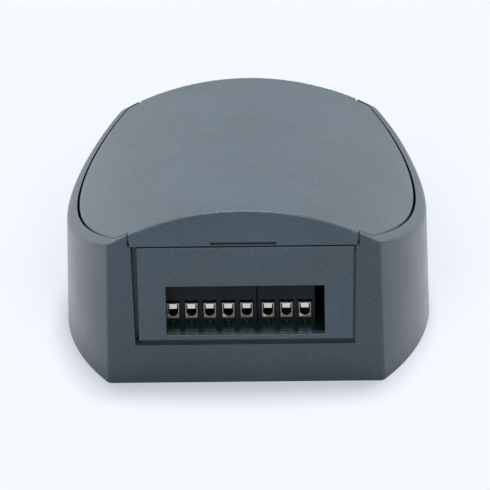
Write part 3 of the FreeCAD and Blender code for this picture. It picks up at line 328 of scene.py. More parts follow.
def extents(node: str, top: float = math.inf) -> list[tuple[Vector, Vector]]:
    """Finds where the separate solids of a CAD node lie.

    Args:
        node: Node of the CAD model.
        top: Height above which its corners are left out.

    Returns:
        Lowest and highest corners of each solid.
    """
    mesh = merged_copy(node)
    left = {vert for vert in mesh.verts if vert.co.z <= top * MM}
    found = []
    for start in mesh.verts:
        if start not in left:
            continue
        left.remove(start)
        group = [start]
        for vert in group:
            near = {edge.other_vert(vert) for edge in vert.link_edges} & left
            left -= near
            group.extend(near)
        found.append(extent(group))
    mesh.free()
    return found


# Finishes


@dataclass(frozen=True)
class Finish:
    """A material: what the surface is made of and how it was made."""

    name: str  # name of the material
    colour: str  # colour under plain light
    rough: float = 0.5  # roughness of the surface
    ior: float = 1.5  # index of refraction
    grain: float = 0.5  # size of the fine pattern
    relief: float = 0.004  # height of the fine pattern
    mottle: float = 0.06  # share by which the colour varies with the fine pattern
    cloud: float = 0.15  # share by which the roughness varies over the piece
    coat: float = 0.0  # weight of a clear coat
    cloud_size: float = 14.0  # size of the roughness's drift

    def material(self) -> bpy.types.Material:
        """Gives the material, made the first time.

        Returns:
            The Blender material.
        """
        made = bpy.data.materials.get(self.name)
        if made is None:
            made = bpy.data.materials.new(self.name)
            made.use_nodes = True
            made.diffuse_color = linear(self.colour)
            surface = Surface(made)
            plain = {"Base Color": linear(self.colour), "Roughness": self.rough, "Coat Weight": self.coat}
            surface.shade(plain)
            self.dress(surface)
        return made

    def dress(self, surface: Surface) -> None:
        """Adds the surface's own detail.

        Args:
            surface: Nodes of the material.
        """
        fine = surface.noise(self.grain, detail=3.0)
        surface.shade({"IOR": self.ior, "Base Color": self.mottled(surface, surface.spread(fine))})
        self.wear(surface, fine)

    def mottled(self, surface: Surface, share: Socket) -> Socket:
        """Colour that runs from a darker to a lighter tone with a share."""
        return surface.mix(share, linear(self.colour, 1 - self.mottle), linear(self.colour, 1 + self.mottle))

    def wear(self, surface: Surface, pattern: Socket) -> None:
        """Lets the roughness drift, as moulding and handling leave it, and raises a pattern as relief.

        Args:
            surface: Nodes of the material.
            pattern: Output that gives the relief's height.
        """
        low, high = self.rough * (1 - self.cloud), min(self.rough * (1 + self.cloud), 1.0)
        drift = surface.remap(surface.noise(self.cloud_size, detail=2.0), NOISE_LOW, NOISE_HIGH, low, high)
        relief = {"Strength": 1.0, "Distance": self.relief * MM, "Height": pattern}
        bump = surface.add("ShaderNodeBump", relief)
        surface.shade({"Roughness": drift, "Normal": bump.outputs["Normal"]})


@dataclass(frozen=True)
class SparkTexture(Finish):
    """Moulded plastic whose mould was spark-eroded: a matt grain of small pits, with pale flecks of dust."""

    drift_size: float = 26.0  # size of the colour's soft drift
    drift_share: float = 0.35  # weight of the drift beside the grain
    fleck_pitch: float = 7.0  # distance between the flecks
    fleck_edge: float = 0.03  # share of that distance at which a fleck ends
    fleck_core: float = 0.012  # share of it up to which a fleck is full
    fleck_weight: float = 0.5  # how far a full fleck covers the plastic
    dust: str = "#B9B6AC"  # colour of the flecks

    def dress(self, surface: Surface) -> None:
        """Adds the pits, the soft drift of colour and the flecks.

        Args:
            surface: Nodes of the material.
        """
        fine = surface.noise(self.grain, detail=2.0)
        drift = surface.spread(surface.noise(self.drift_size, detail=2.0))
        share = surface.maths("MULTIPLY_ADD", drift, self.drift_share, surface.spread(fine))
        pitch = {"Scale": 1 / (self.fleck_pitch * MM), "Randomness": 1.0}
        cells = surface.add("ShaderNodeTexVoronoi", {"Vector": surface.place["Object"], **pitch})
        distance = cells.outputs["Distance"]
        flecks = surface.remap(distance, self.fleck_edge, self.fleck_core, end=self.fleck_weight)
        colour = surface.mix(flecks, self.mottled(surface, share), linear(self.dust))
        surface.shade({"IOR": self.ior, "Base Color": colour})
        self.wear(surface, fine)


@dataclass(frozen=True)
class Metal(Finish):
    """A plated or drawn metal, with faint lines or haze from how it was made."""

    stretch: Place = (1.0, 1.0, 1.0)  # how much longer than wide the pattern's lines are, along X, Y and Z

    def dress(self, surface: Surface) -> None:
        """Adds the metal's reflection, haze and fine lines.

        Args:
            surface: Nodes of the material.
        """
        scale = tuple(1 / length for length in self.stretch)
        drawn = surface.add("ShaderNodeMapping", {"Vector": surface.place["Object"], "Scale": scale})
        lines = {"Vector": drawn.outputs["Vector"], "Scale": 1 / (self.grain * MM), "Detail": 2.0}
        fine = surface.add("ShaderNodeTexNoise", lines).outputs["Fac"]
        surface.shade({"Metallic": 1.0, "Base Color": self.mottled(surface, surface.spread(fine))})
        self.wear(surface, fine)


@dataclass(frozen=True)
class Laminate(Finish):
    """Glass-epoxy board: woven glass under glossy resist on its faces, bare sawn glass at its edges."""

    edge: str = "#4C5A50"  # colour of the sawn edges
    across: Axis = Axis.Z  # axis across the board's thickness
    weave: float = 0.9  # pitch of the woven glass

    def dress(self, surface: Surface) -> None:
        """Adds the weave, the resist and the sawn edges.

        Args:
            surface: Nodes of the material.
        """
        resist = self.mottled(surface, surface.spread(surface.noise(self.grain, detail=2.0)))
        facing = surface.add("ShaderNodeSeparateXYZ", {0: surface.place["Normal"]})
        size = surface.maths("ABSOLUTE", facing.outputs[self.across.name])
        face = surface.maths("GREATER_THAN", size, 0.5)
        surface.shade({"IOR": self.ior, "Base Color": surface.mix(face, linear(self.edge), resist)})
        pitch = {"Scale": math.tau / 20 / (self.weave * MM), "Distortion": 0.4}
        threads = [
            surface.add(
                "ShaderNodeTexWave", {"Vector": surface.place["Object"], **pitch}, bands_direction=way.name
            ).outputs["Fac"]
            for way in Axis
            if way is not self.across
        ]
        self.wear(surface, surface.maths("MULTIPLY", *threads))


@dataclass(frozen=True)
class Clear(Finish):
    """Glass or clear resin, with a trace of its own colour."""

    passing: float = 0.9  # share of the light that goes through

    def dress(self, surface: Surface) -> None:
        """Adds the see-through body and faint waves of its surface."""
        surface.shade({"IOR": self.ior, "Transmission Weight": self.passing})
        self.wear(surface, surface.noise(self.grain, detail=1.0))


# Textured ABS, slate grey: a soft broad sheen that turns pale where it is seen edge-on, and a grain one
# or two pixels wide, drawn at 0.45 mm where the real pits are about 0.15 mm.
COVER_ABS = SparkTexture("abs_slate_spark_eroded", "#495A65", 0.26, 1.5, 0.45, 0.018, 0.4, 0.1)
# The base: the same plastic, smoother in its grain, and a trace darker as painted shade of its lower walls.
SHADED_BASE_ABS = SparkTexture("abs_slate_spark_eroded_shaded", "#42515C", 0.27, 1.5, 0.45, 0.018, 0.3, 0.1)
# The cover plate's mould was eroded finest: the same plastic with the quietest grain.
PLATE_ABS = SparkTexture("abs_slate_spark_eroded_fine", "#495A65", 0.26, 1.5, 0.45, 0.016, 0.26, 0.1)
# Polyamide 66, near black: smooth tool faces with a dull gloss.
TERMINAL_PA = Finish("polyamide_blue_black_moulded", "#08131A", 0.55, 1.34, 0.3, 0.004, 0.2)
# Nickel on brass: a bright warm white that mirrors the tent.
NICKEL = Metal("nickel_plated_brass", "#D8D4CA", 0.24, grain=0.3, relief=0.001, mottle=0.05)
# Nickel-plated steel of the cages, tumbled: a soft haze, in a mid grey darker than the plate's own as painted
# shade.
SHADED_CAGE_STEEL = Metal("nickel_plated_steel_tumbled_shaded", "#8B8A86", 0.32, grain=0.35, relief=0.002, mottle=0.18)
# The same plate painted paler, with a tighter highlight, on a cage's lower front corners: a painted
# highlight.
HIGHLIT_CAGE_STEEL = Metal("nickel_plated_steel_painted_highlight", "#BDBBB5", 0.3, grain=0.3, relief=0.001, mottle=0.1)
# Nickel darkened to a dull grey as painted shade, on faces that stand back in the chambers and under the
# screws' heads.
SHADED_NICKEL = Metal("nickel_plate_painted_shade", "#4A4843", 0.55, grain=0.3, relief=0.002, mottle=0.15)
# Blue-white zinc on steel: duller and colder than the nickel, with a faint patchy haze.
ZINC = Metal("zinc_plated_steel", "#B4B8BD", 0.34, grain=0.4, relief=0.001, mottle=0.08)
# Tin on copper or brass legs: soft grey-white.
TIN = Metal("tin_plated_lead", "#C3C5C6", 0.33, grain=0.25, relief=0.001, mottle=0.05)
# Solder, flowed: bright and smooth with small ripples.
SOLDER = Metal("solder_flowed", "#B9BBBB", 0.22, grain=0.5, relief=0.006, mottle=0.06)
# Tinned sheet, stamped: rolling lines along its length.
TINNED_SHEET = Metal(
    "tinned_sheet_rolled", "#BFC1C0", 0.3, grain=0.12, relief=0.0006, mottle=0.07, stretch=(1.0, 30.0, 1.0)
)
# Drawn steel can of the crystal: brushed along its length.
CRYSTAL_CAN = Metal(
    "nickel_silver_drawn", "#BDBBB4", 0.28, grain=0.1, relief=0.0006, mottle=0.06, stretch=(30.0, 1.0, 1.0)
)
# Bare aluminium end of a can, scored in the press.
ALUMINIUM = Metal("aluminium_pressed", "#C8C9CB", 0.36, grain=0.2, relief=0.001, mottle=0.06)
# Spring bronze of the fuse clips, bright tinned with a yellow trace.
CLIP_BRONZE = Metal("bronze_tinned_spring", "#C6BEA4", 0.3, grain=0.3, relief=0.001, mottle=0.06)
# Glass-epoxy board with green resist, very dark in the shade of the case.
BOARD = Laminate("glass_epoxy_green_resist", "#0F2E2D", 0.32, 1.45, 0.6, 0.004, 0.2, edge="#42585A")
RADIO_BOARD = Laminate(
    "glass_epoxy_green_resist_small", "#145040", 0.3, 1.5, 0.6, 0.004, 0.1, across=Axis.X
)
# Resist over copper: the same green, paler where the metal under it throws light back.
RESIST_OVER_COPPER = Finish("solder_resist_over_copper", "#123A33", 0.32, 1.45, 0.5, 0.003, 0.25)
# PBT, black and smooth, of relays: sharp moulded edges with a satin face.
RELAY_PBT = Finish("polybutylene_black_moulded", "#1B1C1E", 0.34, 1.55, 0.35, 0.002, 0.12)
# Epoxy-filled transformer case: black, slightly coarser than the relays.
POTTING_CASE = Finish("polyester_black_potted_case", "#222325", 0.48, 1.55, 0.5, 0.008, 0.12)
# Soda glass tube of the fuse, drawn and fire-polished.
FUSE_GLASS = Clear("soda_glass_drawn_tube", "#F4F8F6", 0.04, 1.52, 3.0, 0.002)
# Epoxy powder, dipped: blue, glossy, with a gentle orange peel.
VARISTOR_EPOXY = Finish("epoxy_dip_blue", "#1F4C86", 0.28, 1.55, 1.2, 0.03, 0.06, coat=0.3)
# PBT box of the film capacitor, yellow and flat-sided.
FILM_BOX = Finish("polybutylene_yellow_moulded", "#C79A2C", 0.38, 1.55, 0.4, 0.003, 0.04)
# Transfer-moulded epoxy of chips: matt black with a fine sandy grain.
CHIP_EPOXY = Finish("epoxy_black_transfer_moulded", "#232425", 0.55, 1.55, 0.25, 0.008, 0.15)
# PVC sleeve shrunk on a can: smooth, dark blue, with soft waves.
SLEEVE_PVC = Finish("pvc_sleeve_shrunk_blue", "#1D2C4E", 0.3, 1.54, 2.5, 0.02, 0.05)
# The pale band printed down the sleeve's negative side.
SLEEVE_BAND = Finish("pvc_sleeve_band_printed", "#B8BDC6", 0.35, 1.54, 0.8, 0.002, 0.05)
# Rubber bung under the can.
BUNG_RUBBER = Finish("rubber_bung_moulded", "#1A1A1A", 0.7, 1.5, 0.4, 0.01, 0.1)
# PVC insulation, extruded: pale grey with a waxy shine.
WIRE_PVC = Finish("pvc_insulation_extruded", "#B9BDBE", 0.36, 1.54, 0.8, 0.004, 0.04)
# Polyamide clips in natural colour: cloudy off-white.
CLIP_PA = Finish("polyamide_natural_moulded", "#D8D3C2", 0.4, 1.53, 0.4, 0.003, 0.04)
# Acetal button: black, slick.
BUTTON_POM = Finish("acetal_black_moulded", "#202123", 0.32, 1.48, 0.4, 0.002, 0.1)
# Button housing: glass-filled polyamide, matt.
BUTTON_HOUSING = Finish("polyamide_glass_filled_black", "#26282A", 0.5, 1.53, 0.35, 0.006, 0.15)
# Indicator lamp's tinted epoxy, cast: clear red with a smooth dome.
LAMP_RESIN = Clear("epoxy_red_cast_clear", "#C4202A", 0.12, 1.53, 2.0, 0.002)
# Lacquer on resistors: pale blue, dipped, with rounded ends.
RESISTOR_LACQUER = Finish("lacquer_blue_dipped", "#6E9DB4", 0.34, 1.5, 0.7, 0.01, 0.05, coat=0.2)
# The rings that give a resistor's value: lacquer rolled on, the last with bronze powder in it.
BAND_BROWN = Finish("lacquer_band_brown", "#5A3017", 0.36, 1.5, 0.5, 0.003, 0.05)
BAND_BLACK = Finish("lacquer_band_black", "#161514", 0.36, 1.5, 0.5, 0.003, 0.05)
BAND_ORANGE = Finish("lacquer_band_orange", "#C8581C", 0.36, 1.5, 0.5, 0.003, 0.05)
BAND_GOLD = Finish("lacquer_band_gold", "#A98742", 0.3, 1.5, 0.5, 0.003, 0.05)
# Diode's cathode ring, printed in grey.
DIODE_RING = Finish("ink_ring_grey", "#B9BBBC", 0.45, 1.5, 0.5, 0.003, 0.05)
# Ceramic disc dipped in phenolic: ochre, waxy and slightly lumpy.
CERAMIC_DIP = Finish("phenolic_dip_ochre", "#B97B3A", 0.45, 1.52, 0.9, 0.03, 0.06)
# Cast grey epoxy of the transformer's potting; the same grey is painted shade on the film capacitor's
# underside, seen between the relay's pins.
CAST_RESIN_AND_SHADE = Finish("epoxy_cast_grey_and_painted_shade", "#3A3B3C", 0.4, 1.55, 1.5, 0.01, 0.08)

# Tinned legs under the board, as a further finish of a part.
LEADS = (TIN, under(BOARD_TOP - 0.05))


# Pieces


@dataclass
class Piece:
    """One piece of the scene, with the node that it stands for."""

    name: str  # name of the piece
    mesh: Mesh  # its mesh, in place
    finishes: list[Finish]  # its finishes, in the order of the faces' material numbers
    node: str  # CAD node from which it takes its body
    stands_for: bool = False  # whether it replaces that node
    smooth_below: float = 35.0  # greatest turn between faces that is shaded smooth, in degrees

    def finish(self) -> None:
        """Makes the Blender object, which rides on its node's body."""
        limit = math.radians(self.smooth_below)
        for face in self.mesh.faces:
            face.smooth = True
        for edge in self.mesh.edges:
            edge.smooth = len(edge.link_faces) != 2 or edge.calc_face_angle(0.0) < limit
        data = bpy.data.meshes.new(self.name)
        self.mesh.to_mesh(data)
        self.mesh.free()
        made = bpy.data.objects.new(self.name, data)
        bpy.context.scene.collection.objects.link(made)
        for finish in self.finishes:
            data.materials.append(finish.material())
        made.modifiers.new("even_shading", "WEIGHTED_NORMAL").keep_sharp = True
        groups = frame["record"]["behaviour"]["bodies"]
        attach(made, next(name for name, members in groups.items() if self.node in members))
        if self.stands_for:
            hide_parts(self.node)
        log.info("%s: %d faces", self.name, len(data.polygons))


def dress(
    node: str, finish: Finish, *others: tuple[Finish, FaceTest], ease: float = 0.1, mesh: Mesh | None = None
) -> None:
    """Stands a finished mesh in for a CAD node.

    Args:
        node: Node of the CAD model.
        finish: Its main finish.
        *others: Each further finish, with the test of the faces that take it.
        ease: Width of the eased edges.
        mesh: The mesh, where it is more than an eased copy of the node.
    """
    mesh = mesh or eased_copy(node, ease)
    for number, (_, test) in enumerate(others, start=1):
        for face in picked(mesh, test):
            face.material_index = number
    Piece(f"{node}_finished", mesh, [finish, *(other for other, _ in others)], node, True).finish()


# The module's sub-assemblies


@dataclass
class Enclosure:
    """Base shell, top cover and terminal cover plate."""

    shell_ease: float = 0.15  # rounding of the base shell's edges
    cover_ease: float = 0.12  # rounding of the edges of the top cover and the cover plate

    def build(self) -> None:
        """Dresses the three mouldings."""
        # The base shell takes the darker copy of the plastic: painted shade.
        dress("base_shell", SHADED_BASE_ABS, ease=self.shell_ease)
        dress("top_cover", COVER_ABS, ease=self.cover_ease)
        dress("terminal_cover_plate", PLATE_ABS, ease=self.cover_ease)


@dataclass
class TerminalRow:
    """Two screw-clamp blocks with their contacts, rising cages and screws."""

    poles: int = 8  # number of clamps in the row
    block_ease: float = 0.08  # rounding of the mouldings' edges
    metal_ease: float = 0.06  # rounding of the metal pieces' edges
    flange_rear: float = -41.36  # place of the rear face of the contacts' front flanges
    flange_bottom: float = 16.2  # height below which a contact takes the painted shade
    cage_front: float = -41.3  # place of the cages' front faces
    highlight_top: float = 17.2  # height up to which the cages' front corners take the painted highlight
    head_bottom: float = 26.2  # height of the underside of the screws' heads

    def build(self) -> None:
        """Dresses the blocks and the contacts, then each pole's clamp."""
        for node in ("terminal_block_5way", "terminal_block_3way"):
            dress(node, TERMINAL_PA, ease=self.block_ease)
        # Contact faces behind the front flanges or below them get painted shade.
        chamber_shade = (SHADED_NICKEL, lambda at, normal: at.y > self.flange_rear or at.z < self.flange_bottom)
        dress("terminal_contacts", NICKEL, chamber_shade, ease=self.metal_ease)
        for number in range(1, self.poles + 1):
            self.add_cage(f"clamp_cage_{number}")
            # The thread under a screw's head gets painted shade.
            thread_shade = (SHADED_NICKEL, under(self.head_bottom))
            dress(f"clamp_screw_{number}", ZINC, thread_shade, ease=self.metal_ease)

    def add_cage(self, node: str) -> None:
        """Dresses a cage, with painted highlight on the lower corners of its front and painted shade on its
        faces further back.

        Args:
            node: The cage's node.
        """
        mesh = eased_copy(node, self.metal_ease)
        bmesh.ops.bisect_plane(
            mesh,
            geom=mesh.verts[:] + mesh.edges[:] + mesh.faces[:],
            plane_co=placed((0.0, 0.0, self.highlight_top)),
            plane_no=Axis.Z.value,
        )
        # Faces behind the cage's front get painted shade; its lower front corners get a painted highlight.
        rear, front = self.cage_front + 2 * self.metal_ease, self.cage_front + self.metal_ease
        chamber_shade = (SHADED_NICKEL, lambda at, normal: at.y > rear)
        corners = (HIGHLIT_CAGE_STEEL, lambda at, normal: at.y < front and at.z < self.highlight_top)
        dress(node, SHADED_CAGE_STEEL, chamber_shade, corners, mesh=mesh)


@dataclass
class MainBoard:
    """Circuit board with its copper, solder joints and screws."""

    thickness: float = 1.6  # thickness of the laminate
    board_ease: float = 0.05  # rounding of the board's edges
    screw_ease: float = 0.12  # rounding of its screws' edges
    copper: float = 0.06  # thickness of copper and resist together
    copper_ease: float = 0.02  # rounding of the copper's edges, and how far it reaches into the board
    # Places of the terminal pins across the board.
    pole_x: tuple[float, ...] = (-19.93, -14.85, -9.77, -4.69, 0.39, 6.27, 11.35, 16.43)
    pour_half_width: float = 1.9  # half the width of a terminal's copper
    pour_front: float = -45.2  # front end of the terminals' copper
    pour_rear: float = -30.2  # rear end of the terminals' copper
    lead_end: float = 0.3  # least length of a lead under the board
    joint_sink: float = 0.05  # how far a solder joint reaches into the board
    joint_radius: float = 0.95  # radius of a solder joint on the board
    # Radius and drop of the corners of a joint's side, as shares of its radius and height.
    joint: tuple[tuple[float, float], ...] = ((1.0, 0.0), (0.72, 0.22), (0.52, 0.6), (0.46, 1.0))
    joint_height: float = 1.0  # height of a solder joint's side
    joint_tip: float = 0.1  # height of its rounded end
    # Nodes with leads through the board.
    leaded: str = (
        "terminal_contacts relay_1 relay_2 mains_transformer fuse_clips varistor suppression_capacitor "
        "bridge_rectifier smoothing_capacitors voltage_regulator microcontroller crystal radio_header "
        "button_domes status_leds relay_transistors resistors diodes ceramic_capacitors"
    )

    def build(self) -> None:
        """Dresses the board and its screws, then adds copper and solder."""
        dress("circuit_board", BOARD, ease=self.board_ease)
        dress("board_screws", ZINC, ease=self.screw_ease)
        self.add_copper()
        self.add_solder()

    def add_copper(self) -> None:
        """Lays the terminals' copper, seen as paler resist in front of the blocks."""
        mesh = bmesh.new()
        for x in self.pole_x:
            low = (x - self.pour_half_width, self.pour_front, BOARD_TOP - self.copper_ease)
            high = (x + self.pour_half_width, self.pour_rear, BOARD_TOP + self.copper)
            block(mesh, low, high, self.copper_ease, segments=1)
        Piece("board_copper", mesh, [RESIST_OVER_COPPER], "circuit_board").finish()

    def add_solder(self) -> None:
        """Flows a joint round each lead under the board."""
        mesh = bmesh.new()
        under_side = BOARD_TOP - self.thickness
        profile = [(0.0, self.joint_sink), (self.joint_radius, self.joint_sink)]
        profile += [(self.joint_radius * share, -self.joint_height * drop) for share, drop in self.joint]
        profile.append((0.0, -self.joint_height - self.joint_tip))
        for node in self.leaded.split():
            for low, high in extents(node, under_side - self.lead_end):
                middle = (low + high) / 2
                turned(mesh, profile, (middle.x, middle.y, under_side), steps=12)
        Piece("solder_joints", mesh, [SOLDER], "circuit_board").finish()


@dataclass
class PowerSupply:
    """Relays, transformer and the mains and low-voltage parts round them."""

    relays: int = 2  # number of relays
    relay_ease: float = 0.35  # rounding of the relays' cases
    relay_foot: float = 0.06  # how far a relay's base stands out under its case
    foot_height: float = 1.3  # height of the base
    foot_ease: float = 0.05  # rounding of its edges
    # Profile of the vent's pip on a relay's top.
    vent: tuple[tuple[float, float], ...] = ((0.0, -0.05), (0.7, -0.05), (0.7, 0.1), (0.0, 0.16))
    vent_x: float = 2.2  # distance of the pip from the left of the case
    vent_y: float = 2.4  # distance of the pip from the front of the case
    transformer_ease: float = 0.5  # rounding of the transformer's case
    transformer_rim: float = 1.0  # width of the rim round the transformer's top
    potting_depth: float = 0.35  # depth of its potting below the rim
    can_rim: float = 0.7  # width of the sleeve's rolled edge on a can's top
    can_sink: float = 0.25  # depth of the aluminium below that edge
    can_top: float = 4.2  # radius of the aluminium
    can_end: float = 0.5  # depth below a can's top down to which faces are aluminium
    can_leads: float = 0.02  # depth under the board's face from which the cans' leads are bare
    under_shade_depth: float = 0.5  # depth under the board's face down to which down-facing faces take the painted shade
    score: float = 0.14  # width and depth of the grooves scored across it
    band_half_angle: float = 30.0  # half the angle that a can's pale band fills, in degrees
    wire_radius: float = 0.12  # radius of the wire in the fuse
    wire_inset: float = 1.0  # distance from the end of the tube to the end of the wire
    bead: float = 0.8  # half the length of the bead on the wire
    bead_swell: float = 2.4  # radius of the bead, as a multiple of the wire's
    # Heights over the board between which the regulator is moulded.
    regulator: tuple[float, float] = (4.0, 13.0)
    transistor_legs: float = 1.9  # height of the transistors' legs over the board

    def build(self) -> None:
        """Dresses each part of the supply."""
        for number in range(1, self.relays + 1):
            self.add_relay(f"relay_{number}")
        self.add_transformer()
        self.add_cans()
        self.add_fuse_wire()
        dress("fuse_tube", FUSE_GLASS, ease=0.0)
        dress("fuse_caps", NICKEL, ease=0.08)
        dress("fuse_clips", CLIP_BRONZE, ease=0.05)
        dress("varistor", VARISTOR_EPOXY, LEADS)
        # The film capacitor's underside gets the grey as painted shade.
        under_shade = (CAST_RESIN_AND_SHADE, lambda at, normal: normal.z < DOWN and at.z > BOARD_TOP - self.under_shade_depth)
        dress("suppression_capacitor", FILM_BOX, LEADS, under_shade, ease=0.3)
        dress("bridge_rectifier", CHIP_EPOXY, LEADS, ease=0.3)
        low, high = (BOARD_TOP + height for height in self.regulator)
        dress("voltage_regulator", CHIP_EPOXY, (TIN, lambda at, normal: not low <= at.z <= high))
        dress("relay_transistors", CHIP_EPOXY, (TIN, under(BOARD_TOP + self.transistor_legs)), ease=0.08)

    def add_relay(self, node: str) -> None:
        """Dresses a relay and gives it the pip of its vent and the edge of its base.

        Args:
            node: The relay's node.
        """
        mesh = eased_copy(node, self.relay_ease)
        low, high = extent([vert for vert in mesh.verts if vert.co.z > BOARD_TOP * MM])
        foot_low = (low.x - self.relay_foot, low.y - self.relay_foot, BOARD_TOP)
        foot_high = (high.x + self.relay_foot, high.y + self.relay_foot, BOARD_TOP + self.foot_height)
        block(mesh, foot_low, foot_high, self.foot_ease)
        turned(mesh, self.vent, (low.x + self.vent_x, low.y + self.vent_y, high.z))
        dress(node, RELAY_PBT, LEADS, mesh=mesh)

    def add_transformer(self) -> None:
        """Dresses the transformer, whose potting stands a little below the rim of its case."""
        mesh = eased_copy("mains_transformer", self.transformer_ease)
        top = extent(mesh.verts[:])[1].z
        recess(mesh, level_at(top), self.transformer_rim, self.potting_depth)
        potting = (CAST_RESIN_AND_SHADE, level_at(top - self.potting_depth))
        dress("mains_transformer", POTTING_CASE, LEADS, potting, mesh=mesh)

    def add_cans(self) -> None:
        """Dresses the electrolytic cans: rolled sleeve, scored aluminium top, pale band and rubber bung."""
        mesh = merged_copy("smoothing_capacitors")
        ends = extents("smoothing_capacitors")
        tops = [((low.x + high.x) / 2, (low.y + high.y) / 2, high.z) for low, high in ends]
        score = self.score * MM
        for top in tops:
            recess(mesh, level_at(top[2]), self.can_rim, self.can_sink)
            for way in ((1.0, 1.0, 0.0), (1.0, -1.0, 0.0)):
                inner = self.sunk_top(mesh, top)
                rims = {rim for face in inner for rim in (*face.edges, *face.verts)}
                bmesh.ops.bisect_plane(
                    mesh, geom=[*inner, *rims], plane_co=placed(top), plane_no=way, dist=APART_TURNED
                )
            bmesh.ops.inset_individual(
                mesh, faces=self.sunk_top(mesh, top), thickness=score, depth=score, use_even_offset=False
            )
        cosine = math.cos(math.radians(self.band_half_angle))
        dress(
            "smoothing_capacitors",
            SLEEVE_PVC,
            (SLEEVE_BAND, lambda at, normal: abs(normal.z) < UPRIGHT and -normal.y > cosine),
            (
                ALUMINIUM,
                lambda at, normal: normal.z > UP
                and any(at.z > top[2] - self.can_end and self.on_top(at, top) for top in tops),
            ),
            (BUNG_RUBBER, lambda at, normal: normal.z < DOWN),
            (TIN, under(BOARD_TOP - self.can_leads)),
            mesh=mesh,
        )

    def on_top(self, at: Vector, top: Place) -> bool:
        """Whether a point lies over or under the aluminium top of a can."""
        return math.hypot(at.x - top[0], at.y - top[1]) < self.can_top

    def sunk_top(self, mesh: Mesh, top: Place) -> list:
        """Level faces of a can's sunk top, found from the middle of its rim."""
        level = level_at(top[2] - self.can_sink)
        return picked(mesh, lambda at, normal: level(at, normal) and self.on_top(at, top))

    def add_fuse_wire(self) -> None:
        """Runs the fuse's wire between its caps."""
        mesh = bmesh.new()
        low, high = extents("fuse_tube")[0]
        half = (high.y - low.y) / 2 - self.wire_inset
        radius = self.wire_radius
        side = [(radius, -half), (radius, -self.bead), (self.bead_swell * radius, 0.0), (radius, self.bead)]
        profile = [(0.0, -half), *side, (radius, half), (0.0, half)]
        turned(mesh, profile, tuple((low + high) / 2), Axis.Y, steps=12)
        Piece("fuse_wire", mesh, [TIN], "fuse_tube").finish()


